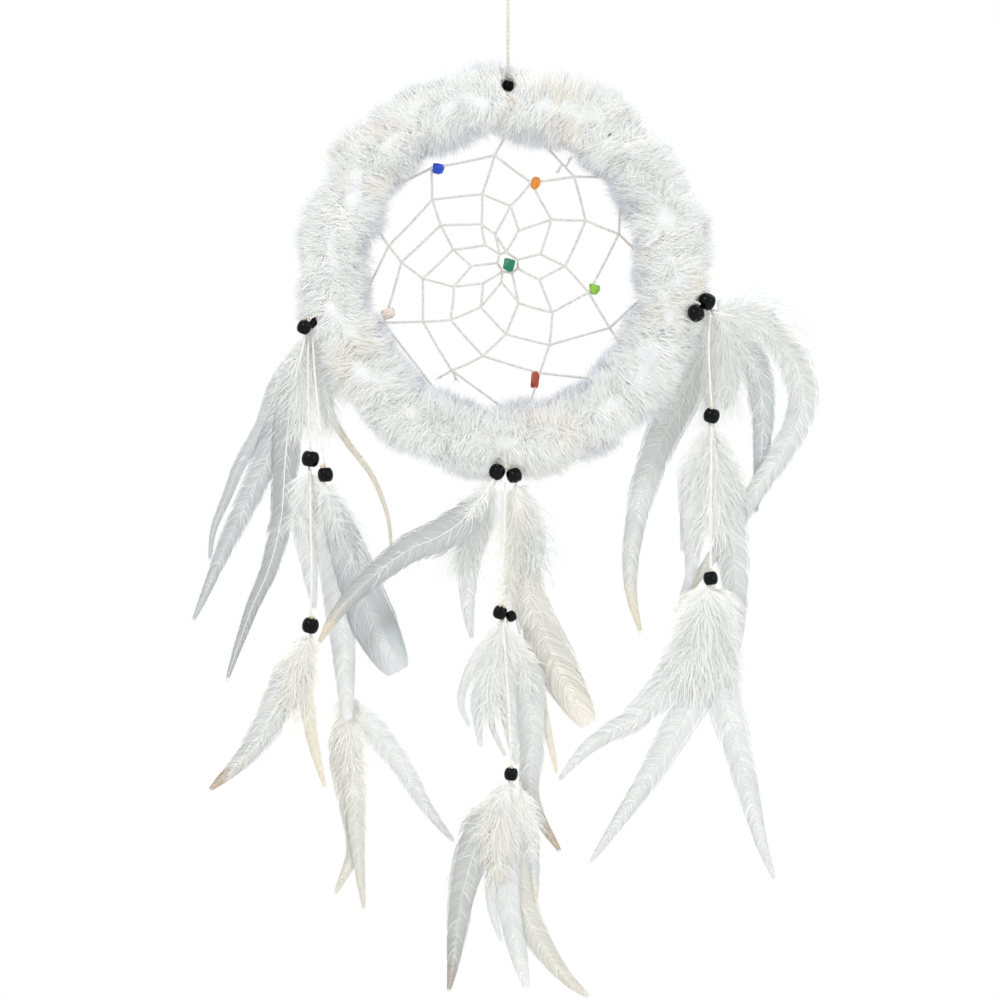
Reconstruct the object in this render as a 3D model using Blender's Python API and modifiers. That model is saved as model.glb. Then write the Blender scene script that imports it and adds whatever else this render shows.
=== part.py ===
"""Dream catcher: a fur-wrapped hoop with a knotted web, hung on a cord, with three strings of
beads and feathers below it.

Run with: blender --background --python part.py
World axes: +Z up, the front of the dream catcher faces -Y, and the origin is the top of the
hanging loop. All tables are in millimetres and become metres in MM.
"""

import math

import bmesh
import bpy
from mathutils import Vector

MM = 0.001

# Driving dimensions, in millimetres.
HOOP_RADIUS = 80.0
HOOP_CENTRE = Vector((-2.3, 0.0, -167.4))
HOOP_WIRE_RADIUS = 1.6
HOOP_CHANNEL_RADIUS = 2.3
HOOP_SEGMENTS = 48
WIRE_SIDES = 8
FUR_RADIUS = 12.0
FUR_SIDES = 14
FUR_GAP_WIDTH = 7.4
HANGING_CORD_RADIUS = 0.9
HANGING_CORD_STEPS = 20
LOOP_BOTTOM_Z = -29.5
# The hanging cord's bare end stops this far above the hoop's wire.
CORD_TO_WIRE_GAP = 0.5
CORD_RADIUS = 0.6
THREAD_RADIUS = 0.6
WEB_LAYER = 0.8
WEB_ANCHOR_RADIUS = 66.6
BEAD_BORE_RADIUS = 1.25
BEAD_HEIGHT_RATIO = 0.86
BEAD_STEPS = 14
# A bead's side is an arc from this angle above its middle to the same angle below it.
BEAD_ARC_DEGREES = 62.0
BEAD_ARC_POINTS = 7
# The bore's wall reaches this share of the bead's half height, so that its mouths are dished.
BORE_HEIGHT_SHARE = 0.8
STONE_BORE_RADIUS = 1.1
STONE_BORE_SIDES = 10
# A chip is this much lower at one end, and its edges are rounded by this share of its least side.
STONE_TAPER = 0.85
STONE_ROUNDING = 0.22
FEATHER_THICKNESS = 0.8
FEATHER_STATIONS = 18
# Above 1, this crowds a feather's stations towards its bent quill end.
STATION_CROWDING = 1.6
QUILL_HALF_WIDTH = 0.6
# A vane is widest this far along, and narrows to both ends by these powers.
VANE_WIDEST = 0.3
QUILL_END_POWER = 0.8
TIP_END_POWER = 0.6

# Distance between the points of a smoothed route.
LOOP_SPACING = 2.4
STRING_SPACING = 3.2
FEATHER_SPACING = 3.0

# The thread's two passes through a knot lie this far before and behind the hoop's plane.
FRONT = -WEB_LAYER
REAR = WEB_LAYER

# Where the hoop's web is tied, as angles from +X, and the knots of each round going inward.
WEB_ANCHOR_ANGLES = (83, 39, -4, -44, -86, -141, -171, 150)
WEB_ANCHORS = tuple(
    (HOOP_CENTRE.x + WEB_ANCHOR_RADIUS * math.cos(math.radians(angle)),
     HOOP_CENTRE.z + WEB_ANCHOR_RADIUS * math.sin(math.radians(angle)))
    for angle in WEB_ANCHOR_ANGLES
)
WEB_ROUND_V = (
    (-6.3, -113.1), (31.0, -123.1), (52.0, -150.0), (47.7, -194.0), (15.0, -215.3),
    (-26.4, -214.1), (-58.4, -191.7), (-56.1, -155.6), (-36.0, -119.1),
)
WEB_ROUND_B = (
    (10.8, -125.8), (36.4, -143.6), (37.8, -177.5), (19.5, -202.1), (-11.7, -207.3),
    (-40.0, -191.1), (-50.1, -163.3), (-35.6, -133.8), (-12.1, -131.2),
)
WEB_ROUND_C = (
    (20.4, -143.2), (26.8, -165.0), (20.8, -186.8), (-1.0, -197.0), (-27.0, -190.2),
    (-40.0, -170.9), (-31.7, -145.8), (-12.5, -145.3), (1.2, -136.8),
)
WEB_ROUND_D = (
    (5.0, -148.3), (15.3, -159.4), (14.7, -171.4), (5.0, -182.5), (-12.9, -184.2),
    (-25.4, -174.8), (-25.8, -157.3), (-10.8, -155.1), (-6.1, -150.0),
)

# Pivots of the moving bodies, each hung from its parent body.
PIVOTS = {
    "hanger": (None, (0.0, 0.0, 0.0)),
    "cord": ("hanger", (0.0, 0.0, -30.0)),
    "hoop": ("cord", (0.0, 0.0, -85.0)),
    "left_1": ("hoop", (-93.5, -9.0, -187.5)),
    "left_2": ("left_1", (-93.0, -8.0, -197.0)),
    "left_3": ("left_2", (-92.6, -7.5, -260.0)),
    "left_4": ("left_2", (-85.5, -7.0, -267.3)),
    "centre_1": ("hoop", (-1.4, -10.5, -257.0)),
    "centre_2": ("centre_1", (-1.4, -10.5, -266.5)),
    "centre_3": ("centre_2", (-1.4, -10.5, -332.0)),
    "right_1": ("hoop", (90.5, -9.5, -178.5)),
    "right_2": ("right_1", (94.5, -7.5, -187.5)),
    "right_3": ("right_2", (95.4, -7.5, -239.5)),
}

# Name, body, centre, radius.
BEADS = (
    ("bead_left_1_front", "left_1", (-95.4, -13.3, -194.2), 3.3),
    ("bead_left_1_rear", "left_1", (-92.1, -8.6, -191.8), 2.8),
    ("bead_left_2_upper", "left_2", (-92.6, -7.5, -255.7), 4.1),
    ("bead_left_2_lower", "left_2", (-85.5, -10.0, -263.2), 3.75),
    ("bead_left_3", "left_3", (-92.6, -7.5, -333.8), 4.0),
    ("bead_left_4", "left_4", (-76.6, 13.2, -363.4), 3.3),
    ("bead_centre_1_left", "centre_1", (-5.2, -10.5, -261.8), 3.7),
    ("bead_centre_1_right", "centre_1", (2.9, -10.5, -263.5), 3.6),
    ("bead_centre_2_front", "centre_2", (-3.8, -10.5, -327.6), 3.3),
    ("bead_centre_2_rear", "centre_2", (1.4, -7.4, -329.5), 2.6),
    ("bead_centre_3", "centre_3", (1.4, -10.5, -403.3), 3.3),
    ("bead_right_1_upper", "right_1", (93.1, -7.5, -181.9), 4.1),
    ("bead_right_1_lower", "right_1", (87.9, -12.6, -187.6), 4.0),
    ("bead_right_2", "right_2", (95.4, -7.5, -235.5), 3.75),
    ("bead_right_3", "right_3", (94.9, -7.5, -311.7), 3.5),
)
TOP_BEAD_CENTRE = (0.0, 0.0, -80.2)
TOP_BEAD_RADIUS = 2.7

# Name, body, route from the bead above, down through the bore of the bead that it carries.
STRINGS = (
    ("string_left_1", "left_2",
     ((-93.5, -7.5, -196.6), (-93.6, -7.5, -221), (-93.0, -7.5, -243), (-92.6, -7.5, -252),
      (-92.6, -7.5, -258))),
    ("string_left_2", "left_2",
     ((-91.7, -9.4, -196.6), (-90.6, -9.8, -214), (-89.0, -10, -231), (-87.0, -10, -250),
      (-85.5, -10, -260), (-85.5, -10, -265.3))),
    ("string_left_3", "left_3",
     ((-92.6, -7.5, -260.6), (-92.6, -7.5, -284), (-92.0, -7.5, -308), (-92.6, -7.5, -329),
      (-92.6, -7.5, -336))),
    ("string_left_4", "left_4",
     ((-85.5, -5.5, -268), (-84.6, 0.5, -279), (-83.0, 10, -296), (-81.6, 13.2, -310),
      (-79.0, 13.2, -338), (-76.6, 13.2, -359), (-76.6, 13.2, -365))),
    ("string_centre_1", "centre_2",
     ((-1.4, -10.5, -267.0), (-1.6, -10.5, -285), (-2.6, -10.5, -306), (-3.8, -10.5, -323),
      (-3.8, -10.5, -329.4))),
    ("string_centre_2", "centre_3",
     ((-2.4, -10.5, -332.4), (-1.0, -10.5, -352), (0.6, -10.5, -378), (1.4, -10.5, -398),
      (1.4, -10.5, -405))),
    ("string_right_1", "right_2",
     ((94.5, -7.5, -187.6), (94.0, -7.5, -205), (94.8, -7.5, -222), (95.4, -7.5, -232),
      (95.4, -7.5, -237.6))),
    ("string_right_2", "right_3",
     ((95.4, -7.5, -240.1), (95.1, -7.5, -262), (94.9, -7.5, -290), (94.9, -7.5, -308),
      (94.9, -7.5, -313.5))),
)

# A feather leaves its bead's bore and reaches its own layer this far below the bead.
FEATHER_BEND = {"left": 45.0, "centre": 45.0, "right": 36.0}

# Where each group of feathers starts to bend back to its layers.
ROOT_Z = {
    "left_1": -199.0, "left_2": -261.0, "left_3": -338.0, "left_4": -367.0,
    "centre_1": -267.0, "centre_2": -332.0, "centre_3": -407.0,
    "right_1": -186.0, "right_2": -239.0, "right_3": -316.0,
}

# Name, body, width, depth at the quill, depth of the feather's layer, centreline as (x, z).
FEATHERS = (
    ("feather_left_1_broad", "left_1", 14, -4.5, 11.6,
     ((-96, -199), (-102, -223), (-110, -247), (-120, -269), (-133, -296), (-142, -317), (-149, -333))),
    ("feather_left_1_long", "left_1", 12, -5.9, 10.2,
     ((-95, -199), (-102, -228), (-105, -256), (-107, -284), (-113, -308), (-120, -324), (-127, -343),
      (-133, -361))),
    ("feather_left_1_narrow", "left_1", 4, -3.1, 13.0,
     ((-92, -200), (-87, -221), (-83, -236), (-75, -249), (-64, -264), (-57, -282), (-55, -298))),
    ("feather_left_2_pointed", "left_2", 14, -5.6, 8.8,
     ((-93.5, -261.5), (-95, -284), (-94, -303), (-91, -327))),
    ("feather_left_2_paddle", "left_2", 20, -9.8, 6.0,
     ((-86, -268), (-77, -294), (-69, -317), (-61, -338), (-51, -357))),
    ("feather_left_2_long", "left_2", 14, -8.4, 7.4,
     ((-86, -268), (-81, -294), (-80, -322), (-79, -346), (-78, -369))),
    ("feather_left_3", "left_3", 16, -5.9, 4.6,
     ((-93, -338.6), (-99, -353), (-107, -369), (-116, -385), (-126, -398), (-141, -412))),
    ("feather_left_4_right", "left_4", 10, 12.5, 12.5,
     ((-76, -367.6), (-67, -378), (-58, -390), (-48, -404), (-37, -422), (-25, -437))),
    ("feather_left_4_long", "left_4", 12, 13.9, 13.9,
     ((-77, -367.6), (-77, -392), (-75, -416), (-73, -440), (-82, -462))),
    ("feather_centre_1_sweep", "centre_1", 16, -12.1, -16.5,
     ((-8, -267), (-14, -276), (-23, -286), (-34, -293), (-46, -298), (-61, -309), (-74, -321),
      (-82, -331), (-89, -343))),
    ("feather_centre_1_left", "centre_1", 13, -8.9, 1.8,
     ((-6, -267), (-13, -284), (-18, -303), (-19, -322), (-17, -341))),
    ("feather_centre_1_right", "centre_1", 18, -7.5, 3.2,
     ((4, -268), (6, -289), (8, -313), (13, -331), (21, -350), (30, -367), (39, -382))),
    ("feather_centre_2_mid", "centre_2", 12, -8.9, -1.0,
     ((-2, -332.6), (-1, -360), (1, -383), (4, -400))),
    ("feather_centre_2_right", "centre_2", 16, -7.5, 0.4,
     ((0, -333.6), (7, -353), (10, -371), (11, -390), (10, -409), (14, -423), (25, -441))),
    ("feather_centre_3_left", "centre_3", 15, -8.9, -5.2,
     ((0, -407.6), (-8, -421), (-16, -440), (-21, -458), (-24, -477), (-26, -494), (-28, -506))),
    ("feather_centre_3_mid", "centre_3", 13, -7.5, -3.8,
     ((1, -407.6), (-1, -440), (0, -463), (4, -484), (9, -505))),
    ("feather_centre_3_right", "centre_3", 19, -6.1, -2.4,
     ((2, -407.6), (0, -430), (1, -449), (7, -468), (17, -486), (28, -500), (39, -509))),
    ("feather_right_1_arc", "right_1", 12, -5.9, 11.6,
     ((97, -187), (109, -190), (123, -197), (134, -209), (139, -226), (135, -242), (127, -256),
      (118, -269),
      (107, -287), (97, -301), (77, -330))),
    ("feather_right_1_short", "right_1", 12, -4.5, 13.0,
     ((96, -187), (106, -197), (116, -212), (120, -228), (120, -249), (117, -282))),
    ("feather_right_1_inner", "right_1", 15, -3.1, 14.4,
     ((93, -188), (89, -209), (81, -228), (72, -247), (64, -270), (59, -294), (58, -317), (63, -339))),
    ("feather_right_2_inner", "right_2", 13, -5.9, 8.8,
     ((94, -240), (89, -256), (87, -275), (87, -294), (86, -310), (81, -322))),
    ("feather_right_2_outer", "right_2", 17, -4.5, 10.2,
     ((96.5, -240), (101, -256), (103, -275), (105, -294), (107, -313), (107, -341), (101, -363))),
    ("feather_right_3_inner", "right_3", 16, -5.9, 4.6,
     ((93, -316), (86, -331), (81, -350), (71, -367), (58, -379), (47, -385), (36, -393), (23, -408))),
    ("feather_right_3_mid", "right_3", 17, -4.5, 6.0,
     ((95, -316), (93, -341), (89, -364), (78, -385), (67, -404), (53, -425), (38, -447))),
    ("feather_right_3_outer", "right_3", 17, -3.1, 7.4,
     ((97, -316), (99, -341), (101, -364), (107, -388), (113, -411), (119, -435), (126, -455))),
)

# Name, the two ends of its stretch of thread with the depth of each, distance along it, size,
# colour.
STONES = (
    ("stone_blue", WEB_ROUND_V[8], REAR, WEB_ROUND_V[0], FRONT, 4.2, (5.6, 4.6, 4.8),
     (0.02, 0.08, 0.45)),
    ("stone_orange", WEB_ROUND_B[0], REAR, WEB_ROUND_V[1], FRONT, 4.4, (4.4, 4.4, 5.6),
     (0.72, 0.30, 0.06)),
    ("stone_pink", WEB_ROUND_V[6], FRONT, WEB_ROUND_B[6], REAR, 5.0, (5.0, 4.4, 5.4),
     (0.78, 0.68, 0.62)),
    ("stone_lime", WEB_ROUND_B[2], REAR, WEB_ROUND_V[2], FRONT, 4.4, (4.6, 4.0, 4.4),
     (0.36, 0.62, 0.10)),
    ("stone_red", WEB_ROUND_V[4], REAR, WEB_ANCHORS[4], FRONT, 5.4, (7.4, 3.8, 3.8),
     (0.42, 0.07, 0.03)),
)
CENTRE_STONE_PLACE = (0.5, -3.2, -164.8)
CENTRE_STONE_SIZE = (5.4, 4.2, 6.0)
CENTRE_STONE_COLOUR = (0.0, 0.22, 0.13)
CENTRE_STONE_SPIN = 20.0

COLOURS = {
    "cord": ((0.86, 0.84, 0.78), 0.9, 0.0),
    "thread": ((0.82, 0.80, 0.74), 0.85, 0.0),
    "metal": ((0.55, 0.56, 0.58), 0.35, 1.0),
    "fur": ((0.90, 0.91, 0.91), 1.0, 0.0),
    "bead": ((0.012, 0.012, 0.014), 0.18, 0.0),
    "feather": ((0.86, 0.86, 0.84), 0.75, 0.0),
}


def clear_scene():
    for obj in list(bpy.data.objects):
        bpy.data.objects.remove(obj, do_unlink=True)


def make_collection(name):
    collection = bpy.data.collections.new(name)
    bpy.context.scene.collection.children.link(collection)
    return collection


def make_material(name, colour, roughness, metallic):
    material = bpy.data.materials.new(name)
    material.use_nodes = True
    shader = material.node_tree.nodes["Principled BSDF"]
    shader.inputs["Base Color"].default_value = (*colour, 1.0)
    shader.inputs["Roughness"].default_value = roughness
    shader.inputs["Metallic"].default_value = metallic
    return material


def make_pivots(collection):
    """One empty for each moving body, on its joint's axis and parented to the body above."""
    empties = {}
    for body, (parent, place) in PIVOTS.items():
        empty = bpy.data.objects.new(body + "_pivot", None)
        collection.objects.link(empty)
        offset = Vector(place)
        if parent:
            empty.parent = empties[parent]
            offset = offset - Vector(PIVOTS[parent][1])
        empty.location = offset * MM
        empties[body] = empty
    return empties


class Builder:
    """Keeps the collections, pivots and materials that every sub-part needs."""

    def __init__(self):
        self.parts = make_collection("dream_catcher")
        self.cutters = make_collection("cutters")
        self.cutters.hide_render = True
        self.pivots = make_pivots(self.parts)
        self.materials = {
            name: make_material(name, *values) for name, values in COLOURS.items()
        }

    def link(self, obj, collection):
        for old in list(obj.users_collection):
            old.objects.unlink(obj)
        collection.objects.link(obj)

    def place(self, obj, body, centre=(0.0, 0.0, 0.0)):
        """Hangs the object on its body's pivot, with its own origin at centre in the world."""
        obj.parent = self.pivots[body]
        obj.location = (Vector(centre) - Vector(PIVOTS[body][1])) * MM

    def add(self, obj, body, material, centre=(0.0, 0.0, 0.0)):
        self.link(obj, self.parts)
        self.place(obj, body, centre)
        obj.data.materials.clear()
        obj.data.materials.append(material)

    def cut(self, obj, cutter, name):
        """Takes the cutter out of the object."""
        self.link(cutter, self.cutters)
        cutter.name = name
        cutter.hide_render = True
        cutter.display_type = "WIRE"
        boolean = obj.modifiers.new(name, "BOOLEAN")
        boolean.operation = "DIFFERENCE"
        boolean.solver = "EXACT"
        boolean.object = cutter


def smooth_route(points, spacing):
    """Points every spacing millimetres along a Catmull-Rom curve through the given points."""
    knots = [Vector(point) for point in points]
    knots = [2 * knots[0] - knots[1], *knots, 2 * knots[-1] - knots[-2]]
    route = [knots[1]]
    for before, start, end, after in zip(knots, knots[1:], knots[2:], knots[3:]):
        steps = max(1, round((end - start).length / spacing))
        for step in range(1, steps + 1):
            t = step / steps
            route.append(0.5 * (
                2 * start
                + (end - before) * t
                + (2 * before - 5 * start + 4 * end - after) * t ** 2
                + (3 * start - before - 3 * end + after) * t ** 3
            ))
    return route


def make_tube(name, route, radius, radii=None, cyclic=False):
    """A tube along the route, whose points are in millimetres."""
    curve = bpy.data.curves.new(name, "CURVE")
    curve.dimensions = "3D"
    curve.bevel_depth = radius * MM
    curve.bevel_resolution = 2
    curve.use_fill_caps = not cyclic
    spline = curve.splines.new("POLY")
    spline.points.add(len(route) - 1)
    for index, place in enumerate(route):
        spline.points[index].co = (*(Vector(place) * MM), 1.0)
        spline.points[index].radius = radii[index] if radii else 1.0
    spline.use_cyclic_u = cyclic
    spline.use_smooth = True
    return bpy.data.objects.new(name, curve)


def hanging_loop(builder):
    """The teardrop loop that goes over the nail, tied at its foot."""
    half = ((0.0, 0.0, -0.9), (3.2, 0.0, -2.2), (5.6, 0.0, -6.0), (5.8, 0.0, -11.0),
            (4.0, 0.0, -18.0), (1.6, 0.0, -25.0), (0.0, 0.0, LOOP_BOTTOM_Z))
    other = [(-x, y, z) for x, y, z in reversed(half[:-1])]
    route = smooth_route([*half, *other], LOOP_SPACING)[:-1]
    loop = make_tube("hanging_loop", route, HANGING_CORD_RADIUS, cyclic=True)
    builder.add(loop, "hanger", builder.materials["cord"])


def hanging_cord(builder):
    """The taut cord from the loop's knot down to the hoop, with the knot as its thick top."""
    # Height from the loop's foot and swelling of the cord, for each turn of the knot.
    knot_profile = ((-1.3, 1.3), (-2.1, 2.3), (-3.7, 2.5), (-5.1, 1.9), (-5.9, 1.0))
    route = [(0.0, 0.0, LOOP_BOTTOM_Z + height) for height, _ in knot_profile]
    radii = [swell for _, swell in knot_profile]
    bottom = HOOP_CENTRE.z + HOOP_RADIUS + HOOP_WIRE_RADIUS + CORD_TO_WIRE_GAP
    start = route[-1][2]
    for step in range(1, HANGING_CORD_STEPS + 1):
        route.append((0.0, 0.0, start + (bottom - start) * step / HANGING_CORD_STEPS))
        radii.append(1.0)
    cord = make_tube("hanging_cord", route, HANGING_CORD_RADIUS, radii)
    builder.add(cord, "cord", builder.materials["cord"])


def torus(name, radius, thickness, sides):
    bpy.ops.mesh.primitive_torus_add(
        major_radius=radius * MM, minor_radius=thickness * MM,
        major_segments=HOOP_SEGMENTS, minor_segments=sides,
        rotation=(math.radians(90), 0.0, 0.0),
    )
    obj = bpy.context.object
    obj.name = name
    bpy.ops.object.shade_smooth()
    return obj


def hoop(builder):
    """The wire ring and the fur strip wound round it, open where the hanging cord is tied."""
    ring = torus("hoop_ring", HOOP_RADIUS, HOOP_WIRE_RADIUS, WIRE_SIDES)
    builder.add(ring, "hoop", builder.materials["metal"], HOOP_CENTRE)
    fur = torus("fur_wrap", HOOP_RADIUS, FUR_RADIUS, FUR_SIDES)
    builder.add(fur, "hoop", builder.materials["fur"], HOOP_CENTRE)
    channel = torus("channel", HOOP_RADIUS, HOOP_CHANNEL_RADIUS, WIRE_SIDES)
    builder.place(channel, "hoop", HOOP_CENTRE)
    builder.cut(fur, channel, "fur_channel_cutter")
    bpy.ops.mesh.primitive_cube_add(size=1.0)
    gap = bpy.context.object
    gap.scale = Vector((FUR_GAP_WIDTH, 3 * FUR_RADIUS, 3 * FUR_RADIUS)) * MM
    builder.place(gap, "hoop", (0.0, 0.0, HOOP_CENTRE.z + HOOP_RADIUS))
    builder.cut(fur, gap, "fur_gap_cutter")


def knot(place, depth):
    return Vector((place[0], depth, place[1]))


def web(builder):
    """One thread laid from knot to knot. It passes each knot twice, once behind and once in
    front of the other pass, so that the two passes stay clear of each other."""
    route = []
    for anchor, inner in zip(WEB_ANCHORS, WEB_ROUND_V[1:]):
        route += [knot(anchor, FRONT), knot(inner, REAR)]
    route.append(knot(WEB_ROUND_V[0], FRONT))
    for outer, inner in zip(WEB_ROUND_V[1:], WEB_ROUND_B):
        route += [knot(inner, REAR), knot(outer, FRONT)]
    route[-1] = knot(WEB_ROUND_B[8], FRONT)
    route.append(knot(WEB_ROUND_C[8], REAR))
    for outer, inner in zip(WEB_ROUND_B[:7], WEB_ROUND_C):
        route += [knot(outer, FRONT), knot(inner, REAR)]
    route += [knot(WEB_ROUND_C[7], FRONT), knot(WEB_ROUND_D[8], REAR), knot(WEB_ROUND_C[8], FRONT)]
    for outer, inner in zip(WEB_ROUND_C[:7], WEB_ROUND_D):
        route += [knot(inner, REAR), knot(outer, FRONT)]
    route.pop()
    thread = make_tube("web_thread", route, THREAD_RADIUS)
    builder.add(thread, "hoop", builder.materials["thread"])


def stone(builder, name, centre, size, colour, spin=0.0, direction=None):
    """A tumbled chip with rounded edges, bored along its thread where one runs through it."""
    bpy.ops.mesh.primitive_cube_add(size=1.0)
    chip = bpy.context.object
    chip.name = name
    mesh = bmesh.new()
    mesh.from_mesh(chip.data)
    bmesh.ops.scale(mesh, vec=Vector(size) * MM, verts=mesh.verts)
    for corner in mesh.verts:
        corner.co.z *= STONE_TAPER if corner.co.x > 0 else 1.0
    mesh.to_mesh(chip.data)
    mesh.free()
    rounded = chip.modifiers.new("rounded", "BEVEL")
    rounded.width = STONE_ROUNDING * min(size) * MM
    rounded.segments = 2
    material = make_material(name, colour, 0.3, 0.0)
    builder.add(chip, "hoop", material, centre)
    if direction is None:
        chip.rotation_euler = (0.0, math.radians(spin), 0.0)
        return
    turn = Vector((1.0, 0.0, 0.0)).rotation_difference(direction)
    chip.rotation_mode = "QUATERNION"
    chip.rotation_quaternion = turn
    bpy.ops.mesh.primitive_cylinder_add(
        vertices=STONE_BORE_SIDES, radius=STONE_BORE_RADIUS * MM, depth=3 * max(size) * MM)
    bore = bpy.context.object
    upright_to_thread = Vector((0.0, 0.0, 1.0)).rotation_difference(Vector((1.0, 0.0, 0.0)))
    bore.data.transform(upright_to_thread.to_matrix().to_4x4())
    builder.place(bore, "hoop", centre)
    bore.rotation_mode = "QUATERNION"
    bore.rotation_quaternion = turn
    builder.cut(chip, bore, name + "_bore_cutter")


def stones(builder):
    for name, start, start_depth, end, end_depth, distance, size, colour in STONES:
        first = knot(start, start_depth)
        direction = (knot(end, end_depth) - first).normalized()
        stone(builder, name, first + direction * distance, size, colour, direction=direction)
    stone(builder, "stone_green", CENTRE_STONE_PLACE, CENTRE_STONE_SIZE, CENTRE_STONE_COLOUR,
          spin=CENTRE_STONE_SPIN)


def bead(builder, name, body, centre, radius):
    """A turned bead: a barrel profile round an upright bore."""
    half_height = radius * BEAD_HEIGHT_RATIO
    arc = math.radians(BEAD_ARC_DEGREES)
    profile = []
    for step in range(BEAD_ARC_POINTS):
        angle = arc * (1.0 - 2.0 * step / (BEAD_ARC_POINTS - 1))
        across = BEAD_BORE_RADIUS + (radius - BEAD_BORE_RADIUS) * math.cos(angle)
        profile.append((across, half_height * math.sin(angle) / math.sin(arc)))
    profile.append((BEAD_BORE_RADIUS, -BORE_HEIGHT_SHARE * half_height))
    profile.append((BEAD_BORE_RADIUS, BORE_HEIGHT_SHARE * half_height))
    mesh = bmesh.new()
    corners = [mesh.verts.new((x * MM, 0.0, z * MM)) for x, z in profile]
    for first, second in zip(corners, corners[1:] + corners[:1]):
        mesh.edges.new((first, second))
    data = bpy.data.meshes.new(name)
    mesh.to_mesh(data)
    mesh.free()
    obj = bpy.data.objects.new(name, data)
    screw = obj.modifiers.new("turned", "SCREW")
    screw.steps = BEAD_STEPS
    screw.render_steps = BEAD_STEPS
    screw.use_merge_vertices = True
    screw.merge_threshold = 0.00001
    screw.use_smooth_shade = True
    builder.add(obj, body, builder.materials["bead"], centre)


def vane_half_width(t, width):
    """Half the feather's width at t from quill (0) to tip (1)."""
    if t < VANE_WIDEST:
        swell = (t / VANE_WIDEST) ** QUILL_END_POWER
    else:
        swell = ((1.0 - t) / (1.0 - VANE_WIDEST)) ** TIP_END_POWER
    return QUILL_HALF_WIDTH + (width / 2 - QUILL_HALF_WIDTH) * swell


def feather(builder, name, body, width, quill_depth, layer_depth, centreline):
    """A thin blade along its centreline, bent from the bead's bore back to its own layer."""
    route = smooth_route([(x, 0.0, z) for x, z in centreline], FEATHER_SPACING)
    bend_length = FEATHER_BEND[body.split("_")[0]]
    bpy.ops.mesh.primitive_grid_add(x_subdivisions=2, y_subdivisions=FEATHER_STATIONS, size=2.0)
    obj = bpy.context.object
    obj.name = name
    for corner in obj.data.vertices:
        side = corner.co.x
        t = ((corner.co.y + 1.0) / 2.0) ** STATION_CROWDING
        at = t * (len(route) - 1)
        index = min(int(at), len(route) - 2)
        here = route[index].lerp(route[index + 1], at - index)
        ahead = (route[index + 1] - route[index]).normalized()
        across = Vector((-ahead.z, 0.0, ahead.x))
        place = here + across * side * vane_half_width(t, width)
        drop = min(1.0, max(0.0, (ROOT_Z[body] - place.z) / bend_length))
        bend = drop * drop * (3.0 - 2.0 * drop)
        place.y = quill_depth + (layer_depth - quill_depth) * bend
        corner.co = place * MM
    shell = obj.modifiers.new("blade", "SOLIDIFY")
    shell.thickness = FEATHER_THICKNESS * MM
    shell.offset = 0.0
    bpy.ops.object.shade_smooth()
    builder.add(obj, body, builder.materials["feather"])


def main():
    clear_scene()
    builder = Builder()
    hanging_loop(builder)
    hanging_cord(builder)
    hoop(builder)
    web(builder)
    stones(builder)
    bead(builder, "bead_top", "hoop", TOP_BEAD_CENTRE, TOP_BEAD_RADIUS)
    for name, body, centre, radius in BEADS:
        bead(builder, name, body, centre, radius)
    for name, body, points in STRINGS:
        string = make_tube(name, smooth_route(points, STRING_SPACING), CORD_RADIUS)
        builder.add(string, body, builder.materials["cord"])
    for values in FEATHERS:
        feather(builder, *values)
    bpy.context.view_layer.update()


main()
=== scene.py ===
"""Looks of the dream catcher: rabbit fur, knotted web, stones, glass beads, twisted cords and
feathers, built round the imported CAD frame. Tables are in millimetres and become metres in MM.
World axes are the frame's: +Z up, and the front of the dream catcher faces -Y."""

import math

import bpy
import numpy as np
from mathutils import Matrix, Vector


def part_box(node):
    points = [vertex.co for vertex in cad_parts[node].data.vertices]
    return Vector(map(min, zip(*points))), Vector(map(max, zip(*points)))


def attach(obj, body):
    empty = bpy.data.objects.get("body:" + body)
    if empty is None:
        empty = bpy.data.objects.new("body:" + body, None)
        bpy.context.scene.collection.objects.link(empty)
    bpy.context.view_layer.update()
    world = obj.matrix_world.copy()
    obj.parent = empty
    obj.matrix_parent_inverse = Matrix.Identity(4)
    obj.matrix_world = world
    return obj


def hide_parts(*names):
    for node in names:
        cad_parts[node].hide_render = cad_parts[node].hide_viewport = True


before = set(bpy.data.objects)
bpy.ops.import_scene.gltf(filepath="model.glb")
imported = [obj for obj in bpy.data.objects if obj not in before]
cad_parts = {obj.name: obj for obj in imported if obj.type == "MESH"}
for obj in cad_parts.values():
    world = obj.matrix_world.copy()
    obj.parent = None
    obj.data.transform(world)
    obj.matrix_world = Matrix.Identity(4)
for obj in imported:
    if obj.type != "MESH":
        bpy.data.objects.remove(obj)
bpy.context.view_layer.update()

MM = 0.001
SEED = 7

# Sizes and places that the CAD source also uses.
HOOP_RADIUS = 80.0
HOOP_CENTRE = np.array((-2.3, 0.0, -167.4))
HANGING_CORD_RADIUS = 0.9
LOOP_BOTTOM_Z = -29.5
CORD_RADIUS = 0.6
THREAD_RADIUS = 0.6
QUILL_HALF_WIDTH = 0.6
FEATHER_BEND = {"left": 45.0, "centre": 45.0, "right": 36.0}
ROOT_Z = {
    "left_1": -199.0, "left_2": -261.0, "left_3": -338.0, "left_4": -367.0,
    "centre_1": -267.0, "centre_2": -332.0, "centre_3": -407.0,
    "right_1": -186.0, "right_2": -239.0, "right_3": -316.0,
}

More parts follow.
